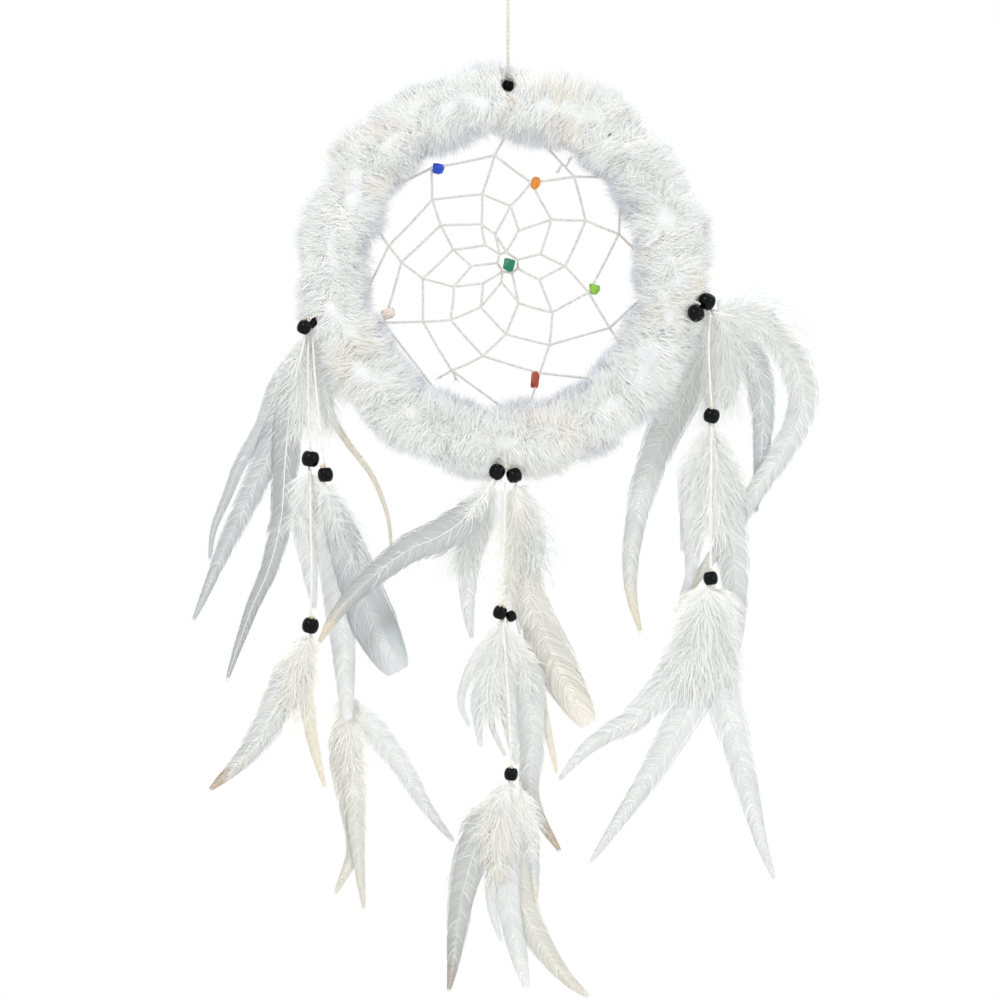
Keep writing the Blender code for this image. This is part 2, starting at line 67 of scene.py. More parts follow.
# Name, body, route from the bead above down into the bead that it carries.
STRINGS = (
    ("string_left_1", "left_2",
     ((-93.5, -7.5, -196.6), (-93.6, -7.5, -221), (-93.0, -7.5, -243), (-92.6, -7.5, -252),
      (-92.6, -7.5, -258))),
    ("string_left_2", "left_2",
     ((-91.7, -9.4, -196.6), (-90.6, -9.8, -214), (-89.0, -10, -231), (-87.0, -10, -250),
      (-85.5, -10, -260), (-85.5, -10, -265.3))),
    ("string_left_3", "left_3",
     ((-92.6, -7.5, -260.6), (-92.6, -7.5, -284), (-92.0, -7.5, -308), (-92.6, -7.5, -329),
      (-92.6, -7.5, -336))),
    ("string_left_4", "left_4",
     ((-85.5, -5.5, -268), (-84.6, 0.5, -279), (-83.0, 10, -296), (-81.6, 13.2, -310),
      (-79.0, 13.2, -338), (-76.6, 13.2, -359), (-76.6, 13.2, -365))),
    ("string_centre_1", "centre_2",
     ((-1.4, -10.5, -267.0), (-1.6, -10.5, -285), (-2.6, -10.5, -306), (-3.8, -10.5, -323),
      (-3.8, -10.5, -329.4))),
    ("string_centre_2", "centre_3",
     ((-2.4, -10.5, -332.4), (-1.0, -10.5, -352), (0.6, -10.5, -378), (1.4, -10.5, -398),
      (1.4, -10.5, -405))),
    ("string_right_1", "right_2",
     ((94.5, -7.5, -187.6), (94.0, -7.5, -205), (94.8, -7.5, -222), (95.4, -7.5, -232),
      (95.4, -7.5, -237.6))),
    ("string_right_2", "right_3",
     ((95.4, -7.5, -240.1), (95.1, -7.5, -262), (94.9, -7.5, -290), (94.9, -7.5, -308),
      (94.9, -7.5, -313.5))),
)

# One side of the hanging loop, from its top down to the knot.
LOOP_SIDE = (
    (0.0, 0.0, -0.9), (3.2, 0.0, -2.2), (5.6, 0.0, -6.0), (5.8, 0.0, -11.0), (4.0, 0.0, -18.0),
    (1.6, 0.0, -25.0), (0.0, 0.0, LOOP_BOTTOM_Z),
)
# The short ends of cord that tie the three strings to the ring through the fur.
TIES = (
    ("tie_left", "left_1", ((-78.0, -2.0, -188.0), (-86.0, -13.0, -187.4), (-92.6, -13.6, -190.0))),
    ("tie_centre", "centre_1", ((-2.0, -1.0, -248.0), (-1.6, -12.6, -252.5), (-1.2, -11.4, -259.0))),
    ("tie_right", "right_1", ((76.0, -2.0, -182.5), (84.0, -13.2, -180.8), (89.0, -12.0, -183.0))),
)

# Bead, body, how far it leans over on its cord in degrees.
BEADS = (
    ("bead_left_1_front", "left_1", 24.0),
    ("bead_left_1_rear", "left_1", -18.0),
    ("bead_left_2_upper", "left_2", 8.0),
    ("bead_left_2_lower", "left_2", -5.0),
    ("bead_left_3", "left_3", 12.0),
    ("bead_left_4", "left_4", 4.0),
    ("bead_centre_1_left", "centre_1", 30.0),
    ("bead_centre_1_right", "centre_1", -16.0),
    ("bead_centre_2_front", "centre_2", 20.0),
    ("bead_centre_2_rear", "centre_2", -24.0),
    ("bead_centre_3", "centre_3", 6.0),
    ("bead_right_1_upper", "right_1", 22.0),
    ("bead_right_1_lower", "right_1", -26.0),
    ("bead_right_2", "right_2", 14.0),
    ("bead_right_3", "right_3", -8.0),
)

# The cord knots that show on top of a bead: name, body, place, size.
KNOTS = (
    ("knot_left_1", "left_1", (-93.2, -12.6, -190.2), 1.5),
    ("knot_left_2", "left_2", (-87.0, -10.8, -259.2), 1.3),
    ("knot_left_3", "left_3", (-91.8, -8.6, -329.8), 1.2),
    ("knot_left_4", "left_4", (-76.6, 13.2, -359.6), 1.2),
    ("knot_centre_1", "centre_1", (-1.0, -11.0, -259.3), 1.2),
    ("knot_centre_2", "centre_2", (-1.6, -11.2, -324.6), 1.2),
    ("knot_centre_3", "centre_3", (1.4, -10.6, -399.9), 1.2),
    ("knot_right_1", "right_1", (88.6, -11.0, -183.2), 1.5),
    ("knot_right_2", "right_2", (95.0, -7.5, -231.5), 1.2),
    ("knot_right_3", "right_3", (94.9, -7.5, -307.8), 1.2),
)

# Knots of the web, round by round, going inward.
WEB_KNOTS = {
    "V": ((-6.3, -113.1), (31.0, -123.1), (52.0, -150.0), (47.7, -194.0), (15.0, -215.3),
          (-26.4, -214.1), (-58.4, -191.7), (-56.1, -155.6), (-36.0, -119.1)),
    "B": ((10.8, -125.8), (36.4, -143.6), (37.8, -177.5), (19.5, -202.1), (-11.7, -207.3),
          (-40.0, -191.1), (-50.1, -163.3), (-35.6, -133.8), (-12.1, -131.2)),
    "C": ((20.4, -143.2), (26.8, -165.0), (20.8, -186.8), (-1.0, -197.0), (-27.0, -190.2),
          (-40.0, -170.9), (-31.7, -145.8), (-12.5, -145.3), (1.2, -136.8)),
    "D": ((5.0, -148.3), (15.3, -159.4), (14.7, -171.4), (5.0, -182.5), (-12.9, -184.2),
          (-25.4, -174.8), (-25.8, -157.3), (-10.8, -155.1), (-6.1, -150.0)),
    "E": ((-3.1, -172.7), (-11.7, -173.1), (-17.2, -165.0)),
    "R": ((-0.9, -158.4), (4.6, -162.0), (4.6, -166.2), (1.9, -168.3), (-2.7, -167.6),
          (-5.2, -163.6), (-4.0, -159.4)),
}
WEB_EDGES = (
    "V1 V9", "V1 B1", "V1 B9", "V2 B1", "V2 B2", "V3 B2", "V3 B3", "V4 B3", "V4 B4", "V5 B4",
    "V5 B5", "V6 B5", "V6 B6", "V7 B6", "V7 B7", "V8 B7", "V8 B8", "V9 B8",
    "B1 C9", "B1 C1", "B2 C1", "B2 C2", "B3 C2", "B3 C3", "B4 C3", "B4 C4", "B5 C4", "B5 C5",
    "B6 C5", "B6 C6", "B7 C6", "B7 C7", "B8 C7", "B8 B9", "B9 C9", "B9 C8",
    "C1 D1", "C1 D2", "C2 D2", "C2 D3", "C3 D3", "C3 D4", "C4 D4", "C4 D5", "C5 D5", "C5 D6",
    "C6 D6", "C6 D7", "C7 D7", "C7 C8", "C8 D8", "C8 D9", "C9 D9", "C9 D1",
    "D1 R1", "D2 R2", "D3 R3", "D4 R4", "D4 E1", "D5 E1", "D5 E2", "D6 E2", "D6 E3", "D7 E3",
    "D7 D8", "D8 R7", "D9 R1", "D9 R7", "E1 R5", "E2 R5", "E3 R6",
    "R1 R2", "R2 R3", "R3 R4", "R4 R5", "R5 R6", "R6 R7", "R7 R1",
)
# A knot of the outer round, and a point where a thread from it goes into the fur.
WEB_TO_HOOP = (
    ("V1", (-0.9, -103.5)), ("V2", (25.4, -117.1)), ("V2", (37.6, -123.2)), ("V3", (52.4, -142.5)),
    ("V3", (59.7, -157.7)), ("V4", (58.3, -184.3)), ("V4", (51.6, -200.3)), ("V5", (32.8, -217.2)),
    ("V5", (11.0, -227.8)), ("V6", (-6.1, -228.9)), ("V7", (-53.6, -197.9)), ("V7", (-64.0, -190.5)),
    ("V8", (-59.9, -150.0)), ("V8", (-65.5, -175.2)), ("V9", (-46.7, -124.4)),
)
# The cut ends of the thread, which fray: the point where the end leaves the web, and its tip.
FRAYED_ENDS = (
    ((-26.4, -214.1), (-33.2, -218.0)),
    ((-26.4, -214.1), (-24.0, -219.5)),
    ((27.0, -118.6), (29.8, -113.4)),
    ((25.4, -117.1), (23.0, -121.6)),
)

# Stone, shift from its CAD node, size, lean in degrees, squareness (2 is an egg), taper towards
# its foot, roughness, colour and vein colour.
STONES = (
    ("stone_blue", (-0.9, 0.0, -1.0), (5.7, 4.4, 5.1), 10, 6, 0.1, 0.4, (8, 58, 186), (24, 100, 222)),
    ("stone_orange", (-2.2, -0.6, -0.8), (4.7, 4.2, 6.2), 8, 2.5, 0.0, 0.22, (216, 132, 40),
     (242, 182, 96)),
    ("stone_pink", (0.8, 0.0, -0.4), (6.6, 4.2, 5.2), -16, 3, 0.1, 0.5, (222, 206, 196),
     (242, 233, 226)),
    ("stone_lime", (0.8, 0.0, -2.4), (5.7, 4.0, 5.0), 14, 4, 0.42, 0.3, (128, 186, 56),
     (204, 228, 148)),
    ("stone_red", (0.6, 0.0, 1.2), (4.0, 3.6, 8.1), 6, 6, 0.06, 0.4, (158, 62, 38), (196, 100, 72)),
    ("stone_green", (0.0, 0.0, 0.0), (5.4, 4.2, 6.2), 12, 4.5, 0.05, 0.25, (4, 118, 88),
     (30, 160, 122)),
)
CHIP_FLATS = 9

# Colours of a feather, as red, green and blue out of 255: its down, the vane beside the shaft,
# the vane, the vane's edge, and the tip.
PALETTES = {
    "blue": ((244, 246, 245), (214, 218, 218), (202, 206, 207), (195, 200, 203), (205, 209, 210)),
    "white": ((248, 249, 248), (239, 241, 240), (227, 230, 229), (214, 218, 219), (231, 233, 232)),
    "cream": ((248, 246, 238), (242, 238, 226), (232, 227, 211), (216, 210, 194), (236, 230, 215)),
    "cream_tip": ((247, 248, 245), (235, 237, 234), (218, 222, 221), (206, 211, 213), (235, 228, 210)),
    "brown_tip": ((247, 247, 243), (233, 235, 232), (217, 220, 219), (206, 210, 211), (200, 185, 166)),
    "taupe_tip": ((247, 247, 243), (214, 216, 213), (198, 201, 199), (190, 194, 194), (192, 185, 178)),
    "warm": ((249, 248, 243), (233, 232, 226), (221, 220, 213), (211, 210, 204), (227, 224, 215)),
    "grey": ((244, 245, 244), (203, 206, 206), (192, 196, 196), (186, 190, 192), (198, 202, 202)),
    "grey_cream_tip": ((245, 245, 242), (205, 208, 207), (194, 198, 198), (187, 192, 193),
                       (226, 217, 200)),
}

# How blunt a feather's end is, where it isn't the usual point.
TIP_BLUNTNESS = {"feather_left_2_paddle": 0.3, "feather_centre_1_right": 0.36,
                 "feather_centre_3_mid": 0.5, "feather_left_2_long": 0.5}
# How far along its length a feather is widest, where it isn't near the quill.
VANE_WIDEST = {"feather_left_2_paddle": 0.74, "feather_centre_1_right": 0.72}
# How stout a shaft is, where it isn't the usual one.
SHAFT_STOUTNESS = {"feather_left_1_long": 2.3, "feather_left_2_pointed": 1.4,
                   "feather_right_1_arc": 1.5, "feather_right_1_short": 1.3,
                   "feather_centre_1_sweep": 1.2}

# Name, body, width, depth at the quill, depth of its layer, palette, share of its length that is
# down, how ragged its edge is, centreline as (x, z). The ones at the end have no CAD node: they
# are small down feathers among the others.
FEATHERS = (
    ("feather_left_1_broad", "left_1", 16, -4.5, 11.6, "blue", 0.28, 0.6,
     ((-96, -199), (-102, -223), (-110, -247), (-120, -269), (-133, -296), (-142, -317),
      (-149, -333))),
    ("feather_left_1_long", "left_1", 15, -5.9, 10.2, "grey", 0.16, 0.4,
     ((-95, -199), (-102, -228), (-105, -256), (-107, -284), (-113, -308), (-120, -324),
      (-127, -343), (-133, -361))),
    ("feather_left_1_narrow", "left_1", 4, -3.1, 13.0, "cream", 0.0, 0.1,
     ((-92, -200), (-87, -221), (-83, -236), (-75, -249), (-64, -264), (-57, -282), (-55, -298))),
    ("feather_left_2_pointed", "left_2", 16, -5.6, 8.8, "white", 0.3, 0.7,
     ((-93.5, -261.5), (-95, -284), (-94, -303), (-91, -327))),
    ("feather_left_2_paddle", "left_2", 23, -9.8, 6.0, "blue", 0.18, 0.2,
     ((-86, -268), (-77, -294), (-69, -317), (-61, -338), (-51, -357))),
    ("feather_left_2_long", "left_2", 18, -8.4, 7.4, "white", 0.22, 0.5,
     ((-86, -268), (-82, -294), (-80, -322), (-77.5, -346), (-75.5, -380))),
    ("feather_left_3", "left_3", 20, -5.9, 4.6, "brown_tip", 0.25, 0.6,
     ((-93, -338.6), (-99, -353), (-107, -369), (-116, -385), (-126, -398), (-141, -412))),
    ("feather_left_4_right", "left_4", 13, 12.5, 12.5, "white", 0.18, 0.8,
     ((-76, -367.6), (-67, -378), (-58, -390), (-48, -404), (-37, -422), (-25, -437))),
    ("feather_left_4_long", "left_4", 16, 13.9, 13.9, "warm", 0.2, 0.4,
     ((-77, -367.6), (-77, -392), (-75, -416), (-73, -440), (-82, -462))),
    ("feather_centre_1_sweep", "centre_1", 18, -12.1, -16.5, "grey_cream_tip", 0.12, 0.4,
     ((-8, -267), (-14, -276), (-23, -286), (-34, -293), (-46, -298), (-61, -309), (-74, -321),
      (-82, -331), (-89, -343))),
    ("feather_centre_1_left", "centre_1", 16, -8.9, 1.8, "white", 0.3, 0.7,
     ((-6, -267), (-13, -284), (-18, -303), (-19, -322), (-17, -341))),
    ("feather_centre_1_right", "centre_1", 21, -7.5, 3.2, "warm", 0.25, 0.9,
     ((4, -268), (6, -289), (8, -313), (13, -331), (21, -350), (30, -367), (39, -382))),
    ("feather_centre_2_mid", "centre_2", 14, -8.9, -1.0, "white", 0.35, 0.7,
     ((-2, -332.6), (-1, -360), (1, -383), (4, -400))),
    ("feather_centre_2_right", "centre_2", 18, -7.5, 0.4, "brown_tip", 0.2, 0.6,
     ((0, -333.6), (7, -353), (10, -371), (11, -390), (10, -409), (14, -423), (25, -441))),
    ("feather_centre_3_left", "centre_3", 20, -8.9, -5.2, "taupe_tip", 0.22, 0.4,
     ((0, -407.6), (-8, -421), (-16, -440), (-21, -458), (-24, -477), (-26, -494), (-28, -506))),
    ("feather_centre_3_mid", "centre_3", 16, -7.5, -3.8, "white", 0.25, 0.5,
     ((1, -407.6), (-1, -440), (0, -463), (4, -484), (9, -505))),
    ("feather_centre_3_right", "centre_3", 23, -6.1, -2.4, "warm", 0.2, 0.4,
     ((2, -407.6), (0, -430), (1, -449), (7, -468), (17, -486), (28, -500), (39, -509))),
    ("feather_right_1_arc", "right_1", 16, -5.9, 11.6, "cream_tip", 0.25, 0.9,
     ((97, -187), (109, -190), (123, -197), (134, -209), (139, -226), (135, -242), (127, -256),
      (118, -269), (107, -287), (97, -301), (77, -330))),
    ("feather_right_1_short", "right_1", 17, -4.5, 13.0, "blue", 0.3, 0.8,
     ((96, -187), (106, -197), (116, -212), (120, -228), (120, -249), (117, -282))),
    ("feather_right_1_inner", "right_1", 19, -3.1, 14.4, "cream_tip", 0.25, 0.5,
     ((93, -188), (89, -209), (81, -228), (72, -247), (64, -270), (59, -294), (58, -317),
      (63, -339))),
    ("feather_right_2_inner", "right_2", 16, -5.9, 8.8, "white", 0.3, 0.7,
     ((94, -240), (89, -256), (87, -275), (87, -294), (86, -310), (81, -322))),
    ("feather_right_2_outer", "right_2", 21, -4.5, 10.2, "cream_tip", 0.25, 0.6,
     ((96.5, -240), (101, -256), (103, -275), (105, -294), (107, -313), (107, -341),
      (101, -363))),
    ("feather_right_3_inner", "right_3", 19, -5.9, 4.6, "white", 0.35, 0.9,
     ((93, -316), (86, -331), (81, -350), (71, -367), (58, -379), (47, -385), (36, -393),
      (23, -408))),
    ("feather_right_3_mid", "right_3", 19, -4.5, 6.0, "white", 0.25, 0.4,
     ((95, -316), (93, -341), (89, -364), (78, -385), (67, -404), (53, -425), (38, -447))),
    ("feather_right_3_outer", "right_3", 20, -3.1, 7.4, "white", 0.25, 0.5,
     ((97, -316), (99, -341), (101, -364), (107, -388), (113, -411), (119, -435),
      (126, -455))),
    ("down_left_1", "left_1", 9, -4.5, 12.4, "blue", 0.2, 0.3,
     ((-96, -199), (-106, -215), (-116, -240), (-126, -257), (-133, -274), (-139, -289),
      (-141, -304))),
    ("down_left_3", "left_3", 10, -5.0, 3.6, "cream", 0.5, 0.8,
     ((-92, -338), (-95, -364), (-92, -388), (-86, -411))),
    ("down_left_4", "left_4", 13, 13.2, 13.2, "warm", 0.4, 0.6,
     ((-75, -369), (-73, -407), (-71, -440), (-68, -469))),
    ("down_centre_1", "centre_1", 15, -8.2, 2.5, "warm", 1.0, 1.0,
     ((4, -267), (3, -284), (2, -303), (0, -322))),
    ("down_centre_2_curl", "centre_2", 7, -8.2, -1.6, "white", 0.4, 0.8,
     ((-4, -332), (-13, -346), (-20, -360), (-22, -371), (-18, -382))),
    ("down_centre_2_left", "centre_2", 12, -8.2, -0.3, "white", 0.6, 0.9,
     ((-3, -332), (-9, -350), (-14, -369), (-13, -392))),
    ("down_centre_2_sickle", "centre_2", 6, -9.6, -1.2, "white", 0.2, 0.4,
     ((-2, -332), (-6, -355), (-8, -378), (-1, -396))),
    ("down_centre_2_rear", "centre_2", 7, -6.4, 1.2, "cream", 0.3, 0.6,
     ((6, -341), (15, -369), (20, -390), (23, -404))),
    ("down_centre_3_left", "centre_3", 10, -9.2, -4.4, "white", 0.5, 0.8,
     ((0, -407), (-6, -440), (-8, -463), (-3, -483))),
    ("down_centre_3_right", "centre_3", 12, -6.4, -1.9, "cream_tip", 0.5, 0.8,
     ((6, -409), (10, -430), (12, -449), (13, -465))),
    ("down_right_1", "right_1", 11, -3.8, 12.4, "white", 0.9, 1.0,
     ((100, -195), (102, -219), (103, -233))),
    ("down_right_2", "right_2", 6, -5.2, 9.4, "white", 0.3, 0.5,
     ((94, -239), (86, -261), (83, -280), (82, -300))),
    ("down_left_1_front", "left_1", 20, -5.2, 8.0, "white", 0.95, 1.0,
     ((-94.5, -199), (-97, -212), (-98, -226), (-97, -242))),
    ("down_left_1_inner", "left_1", 17, -4.0, 8.8, "cream_tip", 0.95, 0.8,
     ((-92.5, -199), (-89, -212), (-86, -226), (-85, -241))),
    ("down_left_2_front", "left_2", 17, -6.5, 8.2, "white", 0.95, 0.9,
     ((-93.5, -262), (-95, -274), (-98, -287))),
    ("down_left_2_right", "left_2", 19, -9.0, 6.7, "white", 0.85, 0.9,
     ((-85.5, -268), (-79, -280), (-73, -296), (-70, -310))),
    ("down_left_3_front", "left_3", 21, -5.5, 4.1, "warm", 0.9, 1.0,
     ((-93, -338.5), (-97, -350), (-101, -362), (-104, -374))),
    ("down_left_4_front", "left_4", 19, 11.6, 11.6, "warm", 0.9, 0.9,
     ((-76, -367.5), (-75, -382), (-74, -402))),
    ("down_centre_1_left", "centre_1", 22, -10.0, 2.2, "white", 0.9, 1.0,
     ((-6, -267), (-12, -279), (-18, -292), (-21, -307))),
    ("down_centre_1_right", "centre_1", 20, -7.0, 2.8, "blue", 0.9, 1.0,
     ((4, -268), (9, -280), (13, -293), (14, -308))),
    ("down_centre_2_front", "centre_2", 21, -8.6, -1.7, "white", 0.85, 0.9,
     ((-3, -333), (-6, -348), (-8, -364), (-8, -381))),
    ("down_centre_3_front", "centre_3", 22, -8.4, -5.8, "warm", 0.8, 0.8,
     ((0, -408), (-4, -422), (-5, -438), (-4, -455))),
    ("down_right_1_arc", "right_1", 23, -5.4, 11.0, "blue", 0.8, 1.0,
     ((97, -186), (108, -186), (119, -190), (130, -199))),
    ("down_right_1_mid", "right_1", 21, -3.6, 12.2, "white", 0.95, 1.0,
     ((96, -188), (102, -200), (106, -214), (105, -228))),
    ("down_right_1_low", "right_1", 17, -3.8, 13.6, "white", 0.95, 0.9,
     ((94, -189), (94, -204), (95, -220), (96, -236))),
    ("down_right_2_front", "right_2", 28, -5.6, 8.2, "white", 0.9, 0.9,
     ((95, -240), (96, -255), (97, -272), (96, -291))),
    ("down_right_3_front", "right_3", 32, -5.8, 4.0, "white", 0.85, 0.9,
     ((94, -316), (91, -332), (87, -348), (83, -363))),
    ("down_right_3_right", "right_3", 27, -3.6, 6.8, "white", 0.8, 0.9,
     ((96, -316), (99, -332), (102, -348), (104, -363))),
)


# ---------------------------------------------------------------- materials

def linear(colour):
    """A colour out of 255, as the shader takes it."""
    shares = [channel / 255.0 for channel in colour]
    return tuple(c / 12.92 if c <= 0.04045 else ((c + 0.055) / 1.055) ** 2.4 for c in shares)


def plain(name, colour, roughness, sheen=0.0, painted_glow=0.0):
    """A surface whose variety comes from its neighbours: hair and barbs take several of these."""
    material = bpy.data.materials.new(name)
    material.use_nodes = True
    shader = material.node_tree.nodes["Principled BSDF"]
    shader.inputs["Base Color"].default_value = (*linear(colour), 1.0)
    shader.inputs["Roughness"].default_value = roughness
    shader.inputs["Sheen Weight"].default_value = sheen
    shader.inputs["Sheen Roughness"].default_value = 0.5
    shader.inputs["Specular IOR Level"].default_value = 0.2
    # A painted glow: the surface gives off a little white light of its own, which lifts its shadows.
    # It stands in for the light that dense hair passes on from strand to strand.
    shader.inputs["Emission Color"].default_value = (1.0, 1.0, 1.0, 1.0)
    shader.inputs["Emission Strength"].default_value = painted_glow
    return material


class Nodes:
    """A short way to wire a material's nodes."""

    def __init__(self, material):
        material.use_nodes = True
        self.tree = material.node_tree
        self.shader = self.tree.nodes["Principled BSDF"]
        self.place = self.add("ShaderNodeTexCoord").outputs["Object"]

    def add(self, kind, **settings):
        node = self.tree.nodes.new(kind)
        for key, value in settings.items():
            setattr(node, key, value)
        return node

    def link(self, source, target):
        self.tree.links.new(source, target)

    def noise(self, scale, detail=3.0, roughness=0.6, distortion=0.0):
        node = self.add("ShaderNodeTexNoise")
        node.inputs["Scale"].default_value = scale
        node.inputs["Detail"].default_value = detail
        node.inputs["Roughness"].default_value = roughness
        node.inputs["Distortion"].default_value = distortion
        self.link(self.place, node.inputs["Vector"])
        return node.outputs["Fac"]

    def ramp(self, source, stops):
        node = self.add("ShaderNodeValToRGB")
        elements = node.color_ramp.elements
        while len(elements) < len(stops):
            elements.new(0.5)
        for element, (at, colour) in zip(elements, stops):
            element.position = at
            element.color = (*linear(colour), 1.0)
        self.link(source, node.inputs["Fac"])
        return node.outputs["Color"]

    def level(self, source, low, high):
        node = self.add("ShaderNodeMapRange")
        node.inputs["To Min"].default_value = low
        node.inputs["To Max"].default_value = high
        self.link(source, node.inputs["Value"])
        return node.outputs["Result"]

    def bump(self, source, strength, distance):
        node = self.add("ShaderNodeBump")
        node.inputs["Strength"].default_value = strength
        node.inputs["Distance"].default_value = distance
        self.link(source, node.inputs["Height"])
        self.link(node.outputs["Normal"], self.shader.inputs["Normal"])


def fibre_material(name, dark, pale):
    """Spun cotton: fine fibres over a mottled off-white."""
    material = bpy.data.materials.new(name)
    nodes = Nodes(material)
    mottle = nodes.ramp(nodes.noise(900.0, 4.0), ((0.3, dark), (0.7, pale)))
    nodes.link(mottle, nodes.shader.inputs["Base Color"])
    nodes.link(nodes.level(nodes.noise(2500.0), 0.75, 0.95), nodes.shader.inputs["Roughness"])
    nodes.shader.inputs["Sheen Weight"].default_value = 0.3
    nodes.bump(nodes.noise(4200.0, 5.0, 0.7), 0.5, 0.0002)
    return material


def bead_material():
    """Black glass with faint pits and a slightly uneven polish."""
    material = bpy.data.materials.new("bead")
    nodes = Nodes(material)
    smoke = nodes.ramp(nodes.noise(260.0, 3.0), ((0.35, (2, 2, 3)), (0.75, (9, 10, 13))))
    nodes.link(smoke, nodes.shader.inputs["Base Color"])
    nodes.link(nodes.level(nodes.noise(500.0, 4.0), 0.06, 0.2), nodes.shader.inputs["Roughness"])
    nodes.shader.inputs["Specular IOR Level"].default_value = 0.14
    nodes.bump(nodes.noise(420.0, 4.0, 0.65), 0.25, 0.0004)
    return material


def stone_material(name, roughness, colour, vein):
    """A tumbled mineral chip: cloudy colour with paler veins and small pits."""
    material = bpy.data.materials.new(name)
    nodes = Nodes(material)
    shade = tuple(int(channel * 0.72) for channel in colour)
    cloud = nodes.noise(420.0, 5.0, 0.65, 0.8)
    colours = nodes.ramp(cloud, ((0.28, shade), (0.5, colour), (0.62, colour), (0.74, vein)))
    nodes.link(colours, nodes.shader.inputs["Base Color"])
    rough = nodes.level(nodes.noise(900.0, 4.0), roughness * 0.7, roughness * 1.4)
    nodes.link(rough, nodes.shader.inputs["Roughness"])
    nodes.bump(nodes.noise(1100.0, 5.0, 0.7), 0.35, 0.0003)
    return material


def metal_material():
    """Plain drawn steel wire, a little tarnished."""
    material = bpy.data.materials.new("ring_wire")
    nodes = Nodes(material)
    nodes.shader.inputs["Metallic"].default_value = 1.0
    tarnish = nodes.ramp(nodes.noise(180.0), ((0.3, (150, 148, 142)), (0.7, (196, 197, 198))))
    nodes.link(tarnish, nodes.shader.inputs["Base Color"])
    nodes.link(nodes.level(nodes.noise(700.0), 0.3, 0.5), nodes.shader.inputs["Roughness"])
    return material


def underfur_material():
    """Dense wool under the guard hairs: white with cream patches, and blue-grey patches that are
    painted shade, so that the wool reads as shadow where it shows between the hairs.
    """
    material = bpy.data.materials.new("underfur")
    nodes = Nodes(material)
    # The blue-grey stop is painted shade for the gaps between the hairs.
    stops = ((0.25, (234, 237, 241)), (0.45, (243, 245, 246)), (0.6, (245, 246, 245)),
             (0.8, (245, 242, 235)))
    nodes.link(nodes.ramp(nodes.noise(120.0, 4.0), stops), nodes.shader.inputs["Base Color"])
    nodes.shader.inputs["Roughness"].default_value = 1.0
    nodes.shader.inputs["Specular IOR Level"].default_value = 0.0
    nodes.bump(nodes.noise(1400.0, 4.0, 0.7), 0.8, 0.001)
    return material


def hide_material():
    """The suede back of the fur strip."""
    material = bpy.data.materials.new("hide")
    nodes = Nodes(material)
    stops = ((0.3, (206, 190, 164)), (0.7, (230, 218, 196)))
    nodes.link(nodes.ramp(nodes.noise(600.0, 5.0), stops), nodes.shader.inputs["Base Color"])
    nodes.shader.inputs["Roughness"].default_value = 0.95
    nodes.bump(nodes.noise(2200.0, 4.0), 0.6, 0.0002)
    return material


# ---------------------------------------------------------------- meshes

def seeded(name):
    """A random source for each piece, so that a change to one leaves the others alone."""
    code = sum(ord(letter) * (at + 1) for at, letter in enumerate(name))
    return np.random.default_rng(SEED + code)


def unit(vectors):
    return vectors / np.maximum(np.linalg.norm(vectors, axis=-1, keepdims=True), 1e-9)


def make_mesh(name, points, faces, materials, slots=None):
    """An object from points in millimetres and quads."""
    mesh = bpy.data.meshes.new(name)
    mesh.vertices.add(len(points))
    mesh.vertices.foreach_set("co", (np.asarray(points) * MM).astype(np.float32).ravel())
    mesh.loops.add(faces.size)
    mesh.loops.foreach_set("vertex_index", faces.astype(np.int32).ravel())
    mesh.polygons.add(len(faces))
    sides = faces.shape[1]
    mesh.polygons.foreach_set("loop_start", np.arange(0, faces.size, sides, dtype=np.int32))
    for material in materials:
        mesh.materials.append(material)
    if slots is not None:
        mesh.polygons.foreach_set("material_index", np.asarray(slots, dtype=np.int32).ravel())
    mesh.polygons.foreach_set("use_smooth", np.full(len(faces), True))
    mesh.update(calc_edges=True)
    obj = bpy.data.objects.new(name, mesh)
    bpy.context.scene.collection.objects.link(obj)
    return obj


def finish_piece(obj, body, slot, *nodes):
    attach(obj, body)
    if nodes:
        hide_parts(*nodes)
    return obj


def smooth_route(points, spacing):
    """Points every spacing millimetres along a Catmull-Rom curve through the given points."""
    knots = [Vector(point) for point in points]
    knots = [2 * knots[0] - knots[1], *knots, 2 * knots[-1] - knots[-2]]
    route = [knots[1]]
    for before, start, end, after in zip(knots, knots[1:], knots[2:], knots[3:]):
        steps = max(1, round((end - start).length / spacing))
        for step in range(1, steps + 1):
            t = step / steps
            route.append(0.5 * (
                2 * start
                + (end - before) * t
                + (2 * before - 5 * start + 4 * end - after) * t ** 2
                + (3 * start - before - 3 * end + after) * t ** 3
            ))
    return np.array(route)


def route_frames(route):
    """Tangent and two crosswise directions at each point of a route, with no sudden turn."""
    tangents = unit(np.gradient(route, axis=0))
    first = np.cross(tangents[0], (0.0, 1.0, 0.0))
    if np.linalg.norm(first) < 0.1:
        first = np.cross(tangents[0], (1.0, 0.0, 0.0))
    across = [first / np.linalg.norm(first)]
    for tangent in tangents[1:]:
        moved = across[-1] - tangent * across[-1].dot(tangent)
        across.append(moved / np.linalg.norm(moved))
    across = np.array(across)
    return tangents, across, np.cross(tangents, across)


